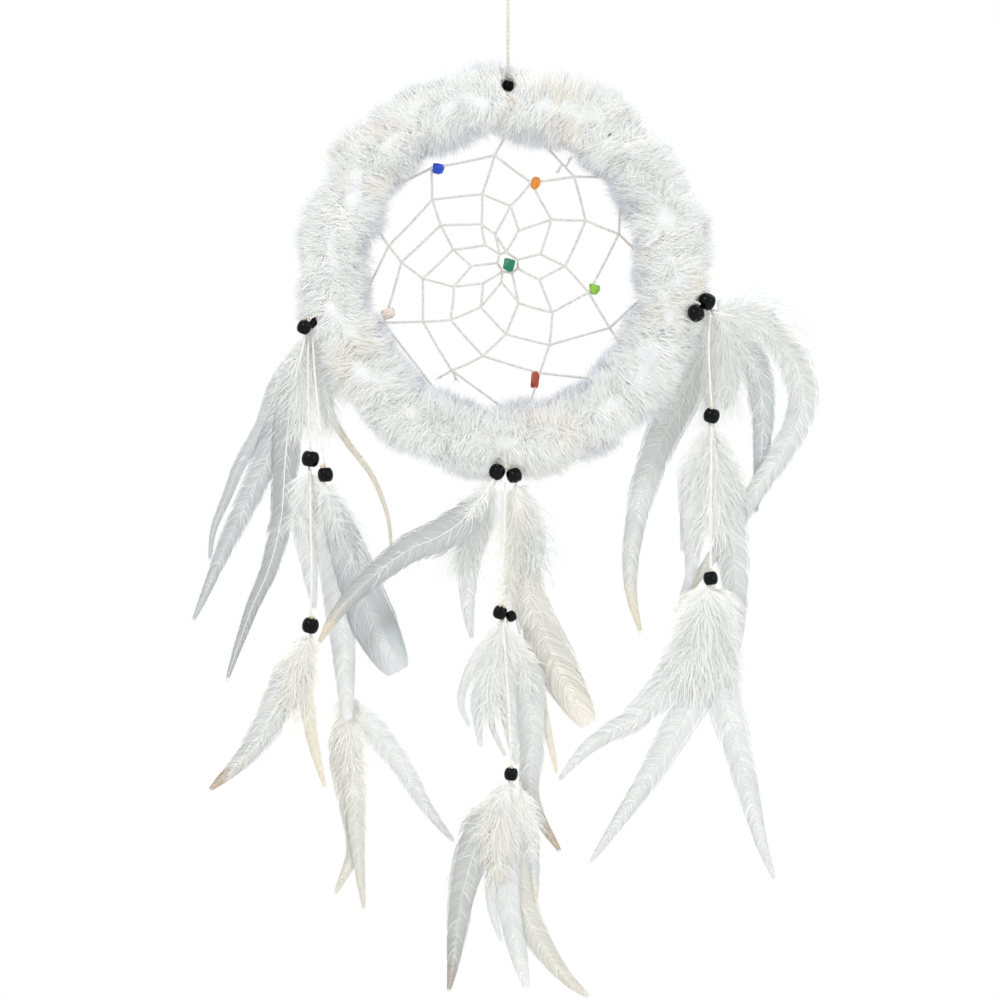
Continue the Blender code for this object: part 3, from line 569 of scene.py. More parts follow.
def tube_points(route, radii, sides, spin=0.0):
    """Rings of points round a route, as (points, quads), with each end closed by quads across its
    ring.
    """
    _, across, up = route_frames(route)
    angles = spin + 2 * math.pi * np.arange(sides) / sides
    radii = np.broadcast_to(np.asarray(radii, float), len(route))[:, None, None]
    ring = np.cos(angles)[None, :, None] * across[:, None, :]
    ring = ring + np.sin(angles)[None, :, None] * up[:, None, :]
    points = (route[:, None, :] + radii * ring).reshape(-1, 3)
    first = np.arange(len(route) - 1)[:, None] * sides + np.arange(sides)[None, :]
    after = np.arange(len(route) - 1)[:, None] * sides + (np.arange(sides)[None, :] + 1) % sides
    quads = np.stack([first, after, after + sides, first + sides], -1).reshape(-1, 4)
    caps = []
    for base in (0, (len(route) - 1) * sides):
        for at in range(1, sides - 1, 2):
            corners = [base, base + at, base + at + 1, base + min(at + 2, sides - 1)]
            caps.append(corners if base else corners[::-1])
    return points, np.concatenate([quads, np.array(caps)])


class Gather:
    """Joins many small bodies into the points, quads and slots of one mesh."""

    def __init__(self):
        self.points, self.faces, self.slots, self.count = [], [], [], 0

    def add(self, points, faces, slot=0):
        self.points.append(points)
        self.faces.append(faces + self.count)
        self.slots.append(np.broadcast_to(slot, len(faces)))
        self.count += len(points)

    def add_strips(self, left, right, slots):
        """Ribbons between two sets of edge points, each (ribbons, stations, 3)."""
        ribbons, stations = left.shape[:2]
        points = np.stack([left, right], 2).reshape(-1, 3)
        start = np.arange(ribbons)[:, None] * stations * 2 + np.arange(stations - 1)[None, :] * 2
        faces = np.stack([start, start + 1, start + 3, start + 2], -1).reshape(-1, 4)
        self.add(points, faces, np.asarray(slots).reshape(-1))

    def make(self, name, materials):
        return make_mesh(name, np.concatenate(self.points), np.concatenate(self.faces), materials,
                         np.concatenate(self.slots))


def resample(route, spacing):
    steps = np.linalg.norm(np.diff(route, axis=0), axis=1)
    along = np.concatenate([[0.0], np.cumsum(steps)])
    count = max(2, round(along[-1] / spacing) + 1)
    at = np.linspace(0.0, along[-1], count)
    return np.stack([np.interp(at, along, route[:, axis]) for axis in range(3)], -1)


# Steps along one full turn of a cord's plies, and the sides of a ply.
TWIST_STEPS = 9
PLY_SIDES = 6


def add_twist(gather, route, radius, lay_length, phase=0.0, slot=0):
    """Two plies twisted round a route."""
    route = resample(np.asarray(route, float), lay_length / TWIST_STEPS)
    _, across, up = route_frames(route)
    along = np.arange(len(route)) * (lay_length / TWIST_STEPS)
    for ply in range(2):
        turn = (phase + 2 * math.pi * along / lay_length + math.pi * ply)[:, None]
        centre = route + radius * 0.46 * (np.cos(turn) * across + np.sin(turn) * up)
        points, faces = tube_points(centre, radius * 0.56, PLY_SIDES)
        gather.add(points, faces, slot)


def cord_piece(name, body, route, radius, lay_length, material, *nodes):
    gather = Gather()
    add_twist(gather, route, radius, lay_length)
    obj = gather.make(name, [material])
    return finish_piece(obj, body, "cord", *nodes)


def overhand_knot(centre, size, thickness, turn):
    """A trefoil of cord pulled small, as points of its route."""
    t = np.linspace(0.0, 2 * math.pi, 72, endpoint=False)
    route = np.stack([np.sin(t) + 2 * np.sin(2 * t), -1.1 * np.sin(3 * t),
                      np.cos(t) - 2 * np.cos(2 * t)], -1)
    route = route / 3.0 * (size - thickness * 0.4)
    cos, sin = math.cos(turn), math.sin(turn)
    turned = np.stack([route[:, 0] * cos - route[:, 2] * sin, route[:, 1],
                       route[:, 0] * sin + route[:, 2] * cos], -1)
    return np.concatenate([turned, turned[:1]]) + np.array(centre)


# ---------------------------------------------------------------- camera and cords

def camera():
    """Level with the middle of the object, square to the hoop."""
    data = bpy.data.cameras.new("camera")
    data.lens = 200.0
    data.sensor_width = 36.0
    data.clip_end = 20.0
    obj = bpy.data.objects.new("camera", data)
    obj.location = (-0.0038, -2.611, -0.275)
    obj.rotation_euler = (math.radians(90.0), 0.0, 0.0)
    bpy.context.scene.collection.objects.link(obj)
    bpy.context.scene.camera = obj


def cords(material, hanging_material, knot_material):
    other_side = [(-x, y, z) for x, y, z in LOOP_SIDE[1:]]
    loop = smooth_route([*reversed(LOOP_SIDE), *other_side], 1.2)
    piece = cord_piece("hanging_loop_cord", "hanger", loop, HANGING_CORD_RADIUS * 0.96, 4.2,
                       hanging_material, "hanging_loop")
    hoop_top = HOOP_CENTRE[2] + HOOP_RADIUS + 1.0
    drop = smooth_route([(0.0, 0.0, hoop_top), (0.0, 0.0, -60.0), (0.0, 0.0, -33.0)], 1.2)
    piece = cord_piece("hanging_cord_twist", "cord", drop, HANGING_CORD_RADIUS, 4.2,
                       hanging_material, "hanging_cord")
    gather = Gather()
    add_twist(gather, overhand_knot((0.0, 0.0, -32.6), 2.6, 1.6, 0.4), 0.85, 3.6)
    finish_piece(gather.make("loop_knot", [knot_material]), "cord", "cord")
    for name, body, points in STRINGS:
        route = smooth_route(points, 1.6)
        piece = cord_piece(name + "_twist", body, route, CORD_RADIUS, 3.2, material, name)
    for at, (name, body, place, size) in enumerate(KNOTS):
        gather = Gather()
        add_twist(gather, overhand_knot(place, size, 0.9, 0.8 * at), 0.46, 2.4)
        finish_piece(gather.make(name, [knot_material]), body, "cord")
    for name, body, points in TIES:
        cord_piece(name, body, smooth_route(points, 1.0), 0.45, 2.6, material)


# ---------------------------------------------------------------- web

def web(material):
    random = seeded("web")
    places = {}
    for letter, knots in WEB_KNOTS.items():
        for at, (x, z) in enumerate(knots):
            places[f"{letter}{at + 1}"] = np.array((x, random.uniform(-0.5, 0.5), z))
    gather = Gather()

    def thread(start, end, slack):
        span = end - start
        middle = (start + end) / 2 + np.array((0.0, 0.0, -slack * np.linalg.norm(span)))
        middle = middle + random.normal(0.0, 0.12, 3)
        route = smooth_route([start, middle, end], 1.5)
        add_twist(gather, route, 1.12 * THREAD_RADIUS, 2.6, random.uniform(0, 6.28))

    for edge in WEB_EDGES:
        start, end = edge.split()
        thread(places[start], places[end], 0.006)
    for name, (x, z) in WEB_TO_HOOP:
        start = places[name]
        away = unit(np.array((x, 0.0, z)) - start)
        reach = start - HOOP_CENTRE
        half = reach.dot(away)
        distance = -half + math.sqrt(half * half - reach.dot(reach) + (HOOP_RADIUS - 2.0) ** 2)
        thread(start, start + away * distance, 0.0)
    for name, place in places.items():
        size = 0.95 if name[0] in "VBC" else 0.8
        route = overhand_knot(place, size, 0.7, random.uniform(0, 3))
        add_twist(gather, route, 0.34, 1.8)
    for (x0, z0), (x1, z1) in FRAYED_ENDS:
        start, end = np.array((x0, 0.0, z0)), np.array((x1, -0.4, z1))
        thread(start, start + (end - start) * 0.75, 0.0)
        for _ in range(16):
            tip = end + random.normal(0.0, 1.1, 3)
            bend = (start + (end - start) * 0.8) + random.normal(0.0, 0.35, 3)
            route = smooth_route([start + (end - start) * 0.7, bend, tip], 0.6)
            points, faces = tube_points(route, np.linspace(0.09, 0.03, len(route)), 4)
            gather.add(points, faces)
    finish_piece(gather.make("web_threads", [material]), "hoop", "thread", "web_thread")


# ---------------------------------------------------------------- beads and stones

BEAD_HEIGHT_RATIO = 0.86
BEAD_SIDES = 40
BEAD_LIP = 0.35
# The outer curve, in radians each way from the bead's waist, and its points.
BEAD_ARC = 1.15
BEAD_ARC_POINTS = 17


def bead(name, body, lean, material):
    """A pressed glass bead with a rounded bore, a little out of true."""
    low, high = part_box(name)
    centre = np.array((low + high) / 2) / MM
    radius = (high.x - low.x) / 2 / MM
    random = seeded(name)
    half_height = radius * BEAD_HEIGHT_RATIO
    bore = min(0.95, radius * 0.3)
    profile = [(bore + BEAD_LIP + (radius - bore - BEAD_LIP) * math.cos(angle) ** 0.9,
                half_height * math.sin(angle) / math.sin(BEAD_ARC))
               for angle in np.linspace(-BEAD_ARC, BEAD_ARC, BEAD_ARC_POINTS)]
    profile += [(bore + 0.1, half_height * 0.94), (bore, half_height * 0.8), (bore, 0.0),
                (bore, -half_height * 0.8), (bore + 0.1, -half_height * 0.94)]
    around = BEAD_SIDES
    turn = 2 * math.pi * np.arange(around) / around
    wobble = 1 + 0.02 * np.sin(2 * turn + random.uniform(0, 6))
    wobble = wobble + 0.012 * np.sin(3 * turn + random.uniform(0, 6))
    rows = []
    for at, (across, height) in enumerate(profile):
        outer = wobble if at < BEAD_ARC_POINTS else np.ones(around)
        rows.append(np.stack([across * outer * np.cos(turn), across * outer * np.sin(turn),
                              np.full(around, height)], -1))
    points = np.concatenate(rows)
    tilt = Matrix.Rotation(math.radians(lean), 3, "Y")
    tilt = tilt @ Matrix.Rotation(math.radians(lean * 0.6), 3, "X")
    points = points @ np.array(tilt).T + centre
    first = np.arange(len(profile))[:, None] * around + np.arange(around)[None, :]
    after = np.roll(first, -1, axis=1)
    faces = np.stack([first, after, np.roll(after, -1, axis=0), np.roll(first, -1, axis=0)], -1)
    obj = make_mesh(name + "_glass", points, faces.reshape(-1, 4), [material])
    finish_piece(obj, body, "bead", name)


def stone(name, shift, size, lean, squareness, taper, roughness, colour, vein):
    """A tumbled chip: a rounded block with flats struck off it."""
    low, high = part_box(name)
    centre = np.array((low + high) / 2) / MM + np.array(shift)
    random = seeded(name)
    bpy.ops.mesh.primitive_ico_sphere_add(subdivisions=5, radius=1.0)
    obj = bpy.context.object
    obj.name = name + "_chip"
    points = np.array([v.co for v in obj.data.vertices])
    points = points / (np.abs(points) ** squareness).sum(1, keepdims=True) ** (1 / squareness)
    points[:, 0] = points[:, 0] * (1.0 + taper * points[:, 2])
    for _ in range(CHIP_FLATS):
        face = unit(random.normal(0.0, 1.0, 3))
        heights = points @ face
        over = np.maximum(0.0, heights - heights.max() * random.uniform(0.74, 0.92))
        points = points - over[:, None] * face * 0.94
    lumps = sum(0.011 * np.sin(points @ unit(random.normal(0, 1, 3)) * k + random.uniform(0, 6))
                for k in (3, 5, 7, 9, 13))
    points = points * (1 + lumps[:, None])
    middle = (points.max(0) + points.min(0)) / 2
    points = (points - middle) / (points.max(0) - points.min(0)) * np.array(size)
    cos, sin = math.cos(math.radians(lean)), math.sin(math.radians(lean))
    points = np.stack([points[:, 0] * cos + points[:, 2] * sin, points[:, 1],
                       points[:, 2] * cos - points[:, 0] * sin], -1)
    obj.data.vertices.foreach_set("co", ((points + centre) * MM).astype(np.float32).ravel())
    obj.data.polygons.foreach_set("use_smooth", np.ones(len(obj.data.polygons), bool))
    obj.data.materials.append(stone_material(name, roughness, colour, vein))
    obj.data.update()
    finish_piece(obj, "hoop", name, name)


# ---------------------------------------------------------------- fur

# Where one turn of the fur strip ends and the next begins, in degrees round the ring from +X.
FUR_TURNS = (-22.0, 8.0, 30.0, 53.0, 88.0, 115.5, 142.0, 160.0, 189.0, 208.0, 229.0, 257.0, 278.0,
             299.0, 318.0, 338.0)
FUR_REACH = 23.4
UNDERFUR_RADIUS = 14.0
HAIR_COUNT = 128000
TUFT_COUNT = 2300
HAIR_STATIONS = 5
TURN_SLANT = 9.0
# The share of a whole turn between one tuft and the next round the tube: the golden ratio.
GOLDEN_SHARE = 0.618034
# A hair's width from root to tip, as shares of its widest.
HAIR_TAPER = (1.0, 1.0, 0.8, 0.48, 0.12)
# Hair colours; the grey one is painted shade for the ring's edges.
WHITE, CREAM, PAINTED_SHADE_GREY, TAN = range(4)
# Where the hanging cord comes out of the fur, in degrees round the ring from +X.
CORD_ANGLE = 88.3
# Beads that sit in the fur, and how much wider than the bead its bare pocket is.
POCKETS = (("bead_top", 0.7), ("bead_left_1_front", 0.0), ("bead_left_1_rear", 0.0),
           ("bead_centre_1_left", 0.0), ("bead_centre_1_right", 0.0), ("bead_right_1_upper", 0.0),
           ("bead_right_1_lower", 0.0))


def fur_turn(theta, psi):
    """Which turn of the strip a point of the ring is in, and how far across that turn it is."""
    slanted = np.degrees(theta) + TURN_SLANT * np.cos(psi)
    edges = np.array([*FUR_TURNS, FUR_TURNS[0] + 360.0])
    wrapped = (slanted - edges[0]) % 360.0 + edges[0]
    turn = np.clip(np.searchsorted(edges, wrapped, side="right") - 1, 0, len(FUR_TURNS) - 1)
    share = (wrapped - edges[turn]) / (edges[turn + 1] - edges[turn])
    return turn, share


def fur_height(theta, psi):
    """How thick the fur stands, as a share of its reach: less at the parting between turns."""
    turn, share = fur_turn(theta, psi)
    crown = 1.0 - np.abs(2.0 * share - 1.0) ** 2.6
    scale = 0.95 + 0.05 * np.sin(turn * 2.4)
    ripple = 0.025 * np.sin(9 * theta + 2 * psi + 1.0) + 0.02 * np.sin(23 * theta - 3 * psi)
    return (0.6 + 0.41 * crown) * scale + ripple


def fur_directions(theta, psi):
    radial = np.stack([np.cos(theta), np.zeros_like(theta), np.sin(theta)], -1)
    tangent = np.stack([-np.sin(theta), np.zeros_like(theta), np.cos(theta)], -1)
    front = np.array((0.0, -1.0, 0.0))
    out = radial * np.cos(psi)[..., None] + front * np.sin(psi)[..., None]
    side = -radial * np.sin(psi)[..., None] + front * np.cos(psi)[..., None]
    return radial, tangent, out, side


def near_cord(theta, width):
    """1 where the hanging cord comes out of the fur, falling away over width degrees."""
    return np.exp(-((np.degrees(theta) - CORD_ANGLE) / width) ** 2)


def underfur(material):
    around, across = 420, 44
    theta, psi = np.meshgrid(2 * math.pi * np.arange(around) / around,
                             2 * math.pi * np.arange(across) / across, indexing="ij")
    radial, _, out, _ = fur_directions(theta, psi)
    lumps = 0.05 * np.sin(31 * theta + 3 * psi) + 0.04 * np.sin(17 * theta - 5 * psi + 2.0)
    radius = UNDERFUR_RADIUS * (fur_height(theta, psi) + lumps)
    radius = radius * (1.0 - 0.72 * near_cord(theta, 3.2))
    points = HOOP_CENTRE + radial * HOOP_RADIUS + out * radius[..., None]
    index = np.arange(around * across).reshape(around, across)
    faces = np.stack([index, np.roll(index, -1, 0), np.roll(np.roll(index, -1, 0), -1, 1),
                      np.roll(index, -1, 1)], -1).reshape(-1, 4)
    obj = make_mesh("fur_underwool", points.reshape(-1, 3), faces, [material])
    finish_piece(obj, "hoop", "fur", "fur_wrap")


def hide_strip(material):
    """The skin side of the strip, wound on the ring under the wool, and its cut size."""
    turns, steps, columns = 15, 30, 5
    radius, width, pitch = 2.9, 27.0, 2 * math.pi * HOOP_RADIUS / turns
    along = np.arange(turns * steps + 1) / steps
    theta = np.radians(92.0) + 2 * math.pi * along / turns * 0.985
    psi = 2 * math.pi * along
    shift = (np.arange(columns) / (columns - 1) - 0.5) * width / HOOP_RADIUS
    theta = theta[:, None] + shift[None, :] * 0.93
    psi = psi[:, None] + np.zeros(columns)[None, :]
    radial, _, out, _ = fur_directions(theta, psi)
    layer = radius + 0.5 * np.arange(columns)[None, :] / (columns - 1)
    points = HOOP_CENTRE + radial * HOOP_RADIUS + out * layer[..., None]
    index = np.arange(points.shape[0] * columns).reshape(-1, columns)
    faces = np.stack([index[:-1, :-1], index[1:, :-1], index[1:, 1:], index[:-1, 1:]], -1)
    obj = make_mesh("fur_hide_strip", points.reshape(-1, 3), faces.reshape(-1, 4), [material])
    finish_piece(obj, "hoop", "fur")


def guard_hair(materials):
    """The long hair of the fur, in tufts that lean with the turn of the strip they grow on."""
    random = seeded("fur")
    # Tufts are spread evenly, by golden-ratio steps round the tube, and then jittered a little.
    order = np.arange(TUFT_COUNT)
    tuft_theta = 2 * math.pi * (order + random.uniform(0, 1, TUFT_COUNT)) / TUFT_COUNT
    tuft_psi = 2 * math.pi * ((order * GOLDEN_SHARE) % 1.0)
    tuft_psi = tuft_psi + random.normal(0, 0.12, TUFT_COUNT)
    turn, share = fur_turn(tuft_theta, tuft_psi)
    _, tangent, out, side = fur_directions(tuft_theta, tuft_psi)
    turn_lean = 0.12 + 0.22 * np.sin(turn * 1.7 + 0.5)
    lean = (turn_lean + 0.2 * (share - 0.5) + random.normal(0, 0.3, TUFT_COUNT))[:, None]
    # Hair on the front and back is combed towards the nearer edge of the ring.
    facing = np.abs(np.sin(tuft_psi))
    combed = -np.sign(np.cos(tuft_psi)) * np.sign(np.sin(tuft_psi)) * facing * 0.55
    combed = (combed + random.normal(0, 0.38, TUFT_COUNT))[:, None]
    direction = unit(out + tangent * lean + side * combed)
    reach = FUR_REACH * fur_height(tuft_theta, tuft_psi) * random.uniform(0.9, 1.03, TUFT_COUNT)
    reach = reach * (1.0 - 0.15 * near_cord(tuft_theta, 2.4))

    pick = random.integers(0, TUFT_COUNT, HAIR_COUNT)
    theta = tuft_theta[pick] + random.normal(0, 2.6 / HOOP_RADIUS, HAIR_COUNT)
    psi = tuft_psi[pick] + random.normal(0, 0.26, HAIR_COUNT)
    radial, tangent, out, side = fur_directions(theta, psi)
    core = HOOP_CENTRE + radial * HOOP_RADIUS
    root = core + out * (UNDERFUR_RADIUS * 0.78)
    tuft_radial = fur_directions(tuft_theta, tuft_psi)[0]
    tuft_core = HOOP_CENTRE + tuft_radial * HOOP_RADIUS
    # The tip stands on the tuft's own direction, drawn part of the way to the tuft's middle.
    own = unit(direction[pick] + out * 0.5 + random.normal(0, 0.2, (HAIR_COUNT, 3)))
    length = reach[pick] * random.uniform(0.7, 1.0, HAIR_COUNT) ** 0.7
    tuft_tip = tuft_core + direction * reach[:, None]
    own_tip = core + own * length[:, None]
    tip = own_tip + (tuft_tip[pick] - own_tip) * random.uniform(0.0, 0.42, HAIR_COUNT)[:, None]
    reach_now = np.linalg.norm(tip - core, axis=1, keepdims=True)
    tip = core + (tip - core) * np.minimum(1.0, FUR_REACH * 1.02 / reach_now)
    middle = (root + tip) / 2 + out * random.uniform(0.4, 2.2, HAIR_COUNT)[:, None]
    t = np.linspace(0.0, 1.0, HAIR_STATIONS)[None, :, None]
    line = (root[:, None] * (1 - t) ** 2 + middle[:, None] * 2 * t * (1 - t) + tip[:, None] * t ** 2)
    wave = random.normal(0, 0.17, (HAIR_COUNT, HAIR_STATIONS, 3)) * t
    line = line + wave
    facing = unit(out + random.normal(0, 0.6, (HAIR_COUNT, 3)))
    across = unit(np.cross(tip - root, facing))[:, None]
    width = (random.uniform(0.12, 0.19, HAIR_COUNT)[:, None, None]
             * np.array(HAIR_TAPER)[None, :, None])
    left, right = line + across * width, line - across * width
    # Hair is white, with cream patches, and tan where the hanging cord comes out. The grey at the tips
    # by the ring's two edges, strongest on the inner edge, is painted shade.
    edge = np.where(np.cos(psi) < 0.0, -1.12 * np.cos(psi), 0.9 * np.cos(psi))
    shade = np.full((HAIR_COUNT, HAIR_STATIONS - 1), WHITE)
    mottle = np.sin(5 * theta + 2.1) + np.sin(13 * theta + 3 * psi)
    shade[mottle + random.normal(0, 0.5, HAIR_COUNT) > 1.5] = CREAM
    # Painted shade: the tips turn grey towards the ring's two edges, more on the inner edge.
    shade[(edge + random.normal(0, 0.2, HAIR_COUNT)) > 0.9, 3] = PAINTED_SHADE_GREY
    shade[(edge + random.normal(0, 0.16, HAIR_COUNT)) > 0.92, 2] = PAINTED_SHADE_GREY
    shade[(edge + random.normal(0, 0.16, HAIR_COUNT)) > 1.05, 1] = PAINTED_SHADE_GREY
    stain = near_cord(theta, 3.0) * (np.sin(psi) > 0.2)
    shade[stain > random.uniform(0.6, 2.6, HAIR_COUNT)] = TAN
    quarter = ((theta % (2 * math.pi)) // (math.pi / 2)).astype(int)
    # No hair crosses in front of a bead that sits in the fur.
    between = (line[:, 1:] + line[:, :-1]) / 2
    checked = np.concatenate([line, between], 1)
    for bead_name, margin in POCKETS:
        low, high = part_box(bead_name)
        middle = np.array((low + high) / 2) / MM
        radius = (high.x - low.x) / 2 / MM
        aside = np.hypot(checked[..., 0] - middle[0], checked[..., 2] - middle[2])
        in_front = (aside < radius + margin) & (checked[..., 1] < middle[1] + 0.4 * radius)
        quarter[in_front.any(1)] = -1
    for at in range(4):
        chosen = quarter == at
        gather = Gather()
        gather.add_strips(left[chosen], right[chosen], shade[chosen])
        obj = gather.make(f"fur_guard_hair_{at + 1}", materials)
        finish_piece(obj, "hoop", "fur")


# ---------------------------------------------------------------- feathers

BARB_SPACING = 0.36
BARB_STATIONS = 5
VANE_COLUMNS = 9
VANE_SHARE = 0.84
FLUFF_PER_MM = 15.0
DOWN, INNER, VANE, EDGE, TIP, SHAFT = range(6)
# Where the colour of a feather's tip starts, as a share of its length.
TIP_START = 0.87
# How fast a vane widens from its quill: a slender one, and one that is widest past its middle.
SLENDER_RISE = 0.8
PADDLE_RISE = 0.42


def vane_half_width(t, width, widest, bluntness):
    """Half the feather's width at t from quill (0) to tip (1)."""
    t = np.clip(t, 0.0, 1.0)
    rise = SLENDER_RISE if widest < 0.5 else PADDLE_RISE
    swell = np.where(t < widest, (t / widest) ** rise, ((1.0 - t) / (1.0 - widest)) ** bluntness)
    return QUILL_HALF_WIDTH + (width / 2 - QUILL_HALF_WIDTH) * swell


class Shaft:
    """A feather's centreline, with places beyond its ends in line with them."""

    def __init__(self, centreline):
        route = smooth_route([(x, 0.0, z) for x, z in centreline], 1.0)
        steps = np.linalg.norm(np.diff(route, axis=0), axis=1)
        self.along = np.concatenate([[0.0], np.cumsum(steps)])
        self.length = self.along[-1]
        self.route = route
        self.tangent = unit(np.gradient(route, axis=0))

    def at(self, s):
        """Place, forward and sideways directions at distance s along the shaft."""
        held = np.clip(s, 0.0, self.length)
        place = np.stack([np.interp(held, self.along, self.route[:, k]) for k in range(3)], -1)
        forward = np.stack([np.interp(held, self.along, self.tangent[:, k]) for k in range(3)], -1)
        forward = unit(forward)
        place = place + forward * (s - held)[..., None]
        across = np.stack([-forward[..., 2], np.zeros_like(held), forward[..., 0]], -1)
        return place, forward, across


def feather_depth(z, body, quill_depth, layer_depth):
    bend = FEATHER_BEND[body.split("_")[0]]
    drop = np.clip((ROOT_Z[body] - z) / bend, 0.0, 1.0)
    return quill_depth + (layer_depth - quill_depth) * drop * drop * (3.0 - 2.0 * drop)


class Feather:
    """One feather: a closed vane, the barbs that lie over it and fringe it, the loose down at
    its root, and its shaft."""

    def __init__(self, values):
        (self.name, self.body, self.width, self.quill_depth, self.layer_depth, self.palette,
         self.down, self.ragged, centreline) = values
        self.random = seeded(self.name)
        self.shaft = Shaft(centreline)
        self.length = self.shaft.length
        self.bluntness = TIP_BLUNTNESS.get(self.name, 0.8)
        self.widest = VANE_WIDEST.get(self.name, 0.25)
        self.gather = Gather()
        self.phase = self.random.uniform(0, 6)

    def depth(self, z):
        return feather_depth(z, self.body, self.quill_depth, self.layer_depth)

    def cup(self, offset):
        return (offset / (self.width / 2)) ** 2 * self.width * 0.05

    def wave(self, s, share):
        """How far the vane twists back and forth along the shaft, at a share of its half width."""
        return 0.32 * np.sin(s / 9.0 + self.phase) * np.clip(share, -1.3, 1.3)

    def half_width(self, t):
        return vane_half_width(t, self.width, self.widest, self.bluntness)

    def vane(self):
        count = max(6, int(self.length / 1.6))
        t = np.linspace(0.35 * self.down + 0.02, 0.985, count)
        grown = np.clip((t - 0.3 * self.down) / max(0.05, 0.5 * self.down), 0.0, 1.0)
        ripple = 1 + 0.03 * self.ragged * self.random.normal(0, 1, count)
        share = VANE_SHARE + 0.12 * np.clip((t - 0.55) / 0.35, 0.0, 1.0)
        half = share * self.half_width(t) * (0.35 + 0.65 * grown) * ripple
        place, _, across = self.shaft.at(t * self.length)
        u = np.linspace(-1.0, 1.0, VANE_COLUMNS)
        offset = half[:, None] * u[None, :]
        line = place[:, None] + across[:, None] * offset[..., None]
        wave = self.wave(t[:, None] * self.length, VANE_SHARE * u[None, :])
        line[..., 1] = self.depth(line[..., 2]) + self.cup(offset) + 0.2 + wave
        index = np.arange(count * VANE_COLUMNS).reshape(count, VANE_COLUMNS)
        faces = np.stack([index[:-1, :-1], index[1:, :-1], index[1:, 1:], index[:-1, 1:]], -1)
        middle = np.abs(u[:-1] + u[1:]) / 2
        shade = np.where(middle < 0.15, INNER, np.where(middle < 0.88, VANE, EDGE))[None, :]
        shade = np.repeat(shade, count - 1, 0)
        mixed = t[:-1, None] + self.random.normal(0, 0.03, shade.shape)
        shade[mixed < self.down * 0.8] = DOWN
        shade[mixed > TIP_START] = TIP
        self.gather.add(line.reshape(-1, 3), faces.reshape(-1, 4), shade.reshape(-1))

    def barbs(self, side):
        """The barbs of one side, which hook together in groups with a small split between two."""
        ends = np.arange(0.04 * self.length + 2.0, self.length + 0.6, BARB_SPACING)
        count, t, random = len(ends), ends / self.length, self.random
        borders = random.uniform(0, 1, count) < 0.01 + 0.022 * self.ragged
        groups = np.cumsum(borders)
        spread = groups[-1] + 1
        shift = random.normal(0, 0.06 + 0.24 * self.ragged, spread)[groups]
        fuller = 1 + random.normal(0, 0.015 + 0.035 * self.ragged, spread)[groups]
        middles = np.array([np.mean(np.nonzero(groups == group)[0]) for group in range(spread)])
        drawn = (middles[groups] - np.arange(count)) * BARB_SPACING
        from_border = np.abs(np.subtract.outer(np.arange(count), np.nonzero(borders)[0]))
        nearest = from_border.min(1) if borders.any() else np.full(count, 99)
        notch = 1 - (0.05 + 0.2 * self.ragged) * np.exp(-nearest / 1.6)
        uneven = 0.08 + 0.16 * self.ragged
        half = self.half_width(t) * fuller * notch + random.normal(0, uneven, count)
        half = np.maximum(half, 0.25)
        # A group is drawn together at its edge, by less where the barbs are short.
        drawn = np.clip(drawn, -4.0, 4.0) * np.minimum(1.0, half / 4.0)
        shift = shift * np.minimum(1.0, half / 2.0)
        angle = np.radians(np.interp(t, (0.0, 0.25, 0.7, 1.0), (62.0, 46.0, 32.0, 18.0)))
        forward_reach = half / np.tan(angle)
        root = np.maximum(ends - forward_reach, 0.03 * self.length)
        u = np.linspace(0.0, 1.0, BARB_STATIONS)[None, :]
        pulled = shift[:, None] + 0.14 * drawn[:, None]
        reach = forward_reach[:, None] * u ** 1.35 + pulled * u ** 2.2
        offset = half[:, None] * np.sin(u * math.pi / 2) ** 0.92
        loose = np.clip((self.down - t) / max(0.08, self.down * 0.4), 0.0, 1.0)
        strays = random.uniform(0, 1, count) < 0.02 + 0.05 * self.ragged
        loose = np.maximum(loose, strays * 0.5)[:, None]
        swing = random.normal(0, 0.3, count)[:, None] * loose
        longer = 1 + loose * random.uniform(-0.15, 0.4, count)[:, None]
        offset = offset * longer * np.cos(swing) + reach * np.sin(swing)
        reach = reach * longer + offset * np.sin(swing)
        place, _, across = self.shaft.at(root[:, None] + reach)
        line = place + across * (side * offset)[..., None]
        fuzz = random.normal(0, 1.3, count)[:, None] * loose * u ** 1.5
        thinned = 1.0 - 0.6 * np.clip((t - 0.5) / 0.35, 0.0, 1.0)[:, None]
        lift = random.normal(0, 0.04, count)[:, None] * u * thinned
        along = root[:, None] + reach
        share = side * offset / np.maximum(self.half_width(along / self.length), 0.8)
        surface = self.depth(line[..., 2]) + self.cup(offset)
        line[..., 1] = surface + fuzz + lift + self.wave(along, share)
        direction = unit(np.gradient(line, axis=1))
        edge_way = unit(np.cross(direction, np.array((0.0, 1.0, 0.0))))
        slope = np.abs((direction * across).sum(-1)) * 0.75 + 0.25
        half_ribbon = (0.62 - 0.42 * u ** 2.5) * BARB_SPACING * (1 - 0.4 * loose) * slope * thinned
        lap = np.zeros_like(line)
        lap[..., 1] = 0.05 * (1 - loose)
        left = line + edge_way * half_ribbon[..., None] + lap
        right = line - edge_way * half_ribbon[..., None] - lap
        tone = random.choice((INNER, VANE, EDGE), count, p=(0.12, 0.78, 0.1))
        shade = np.repeat(tone[:, None], BARB_STATIONS - 1, 1)
        shade[random.uniform(0, 1, count) < 0.5, -1] = EDGE
        mix = random.normal(0, 0.05, count)
        shade[(t + mix) < max(self.down, 0.06)] = DOWN
        shade[(t + mix * 1.5) > TIP_START] = TIP
        self.gather.add_strips(left, right, shade)

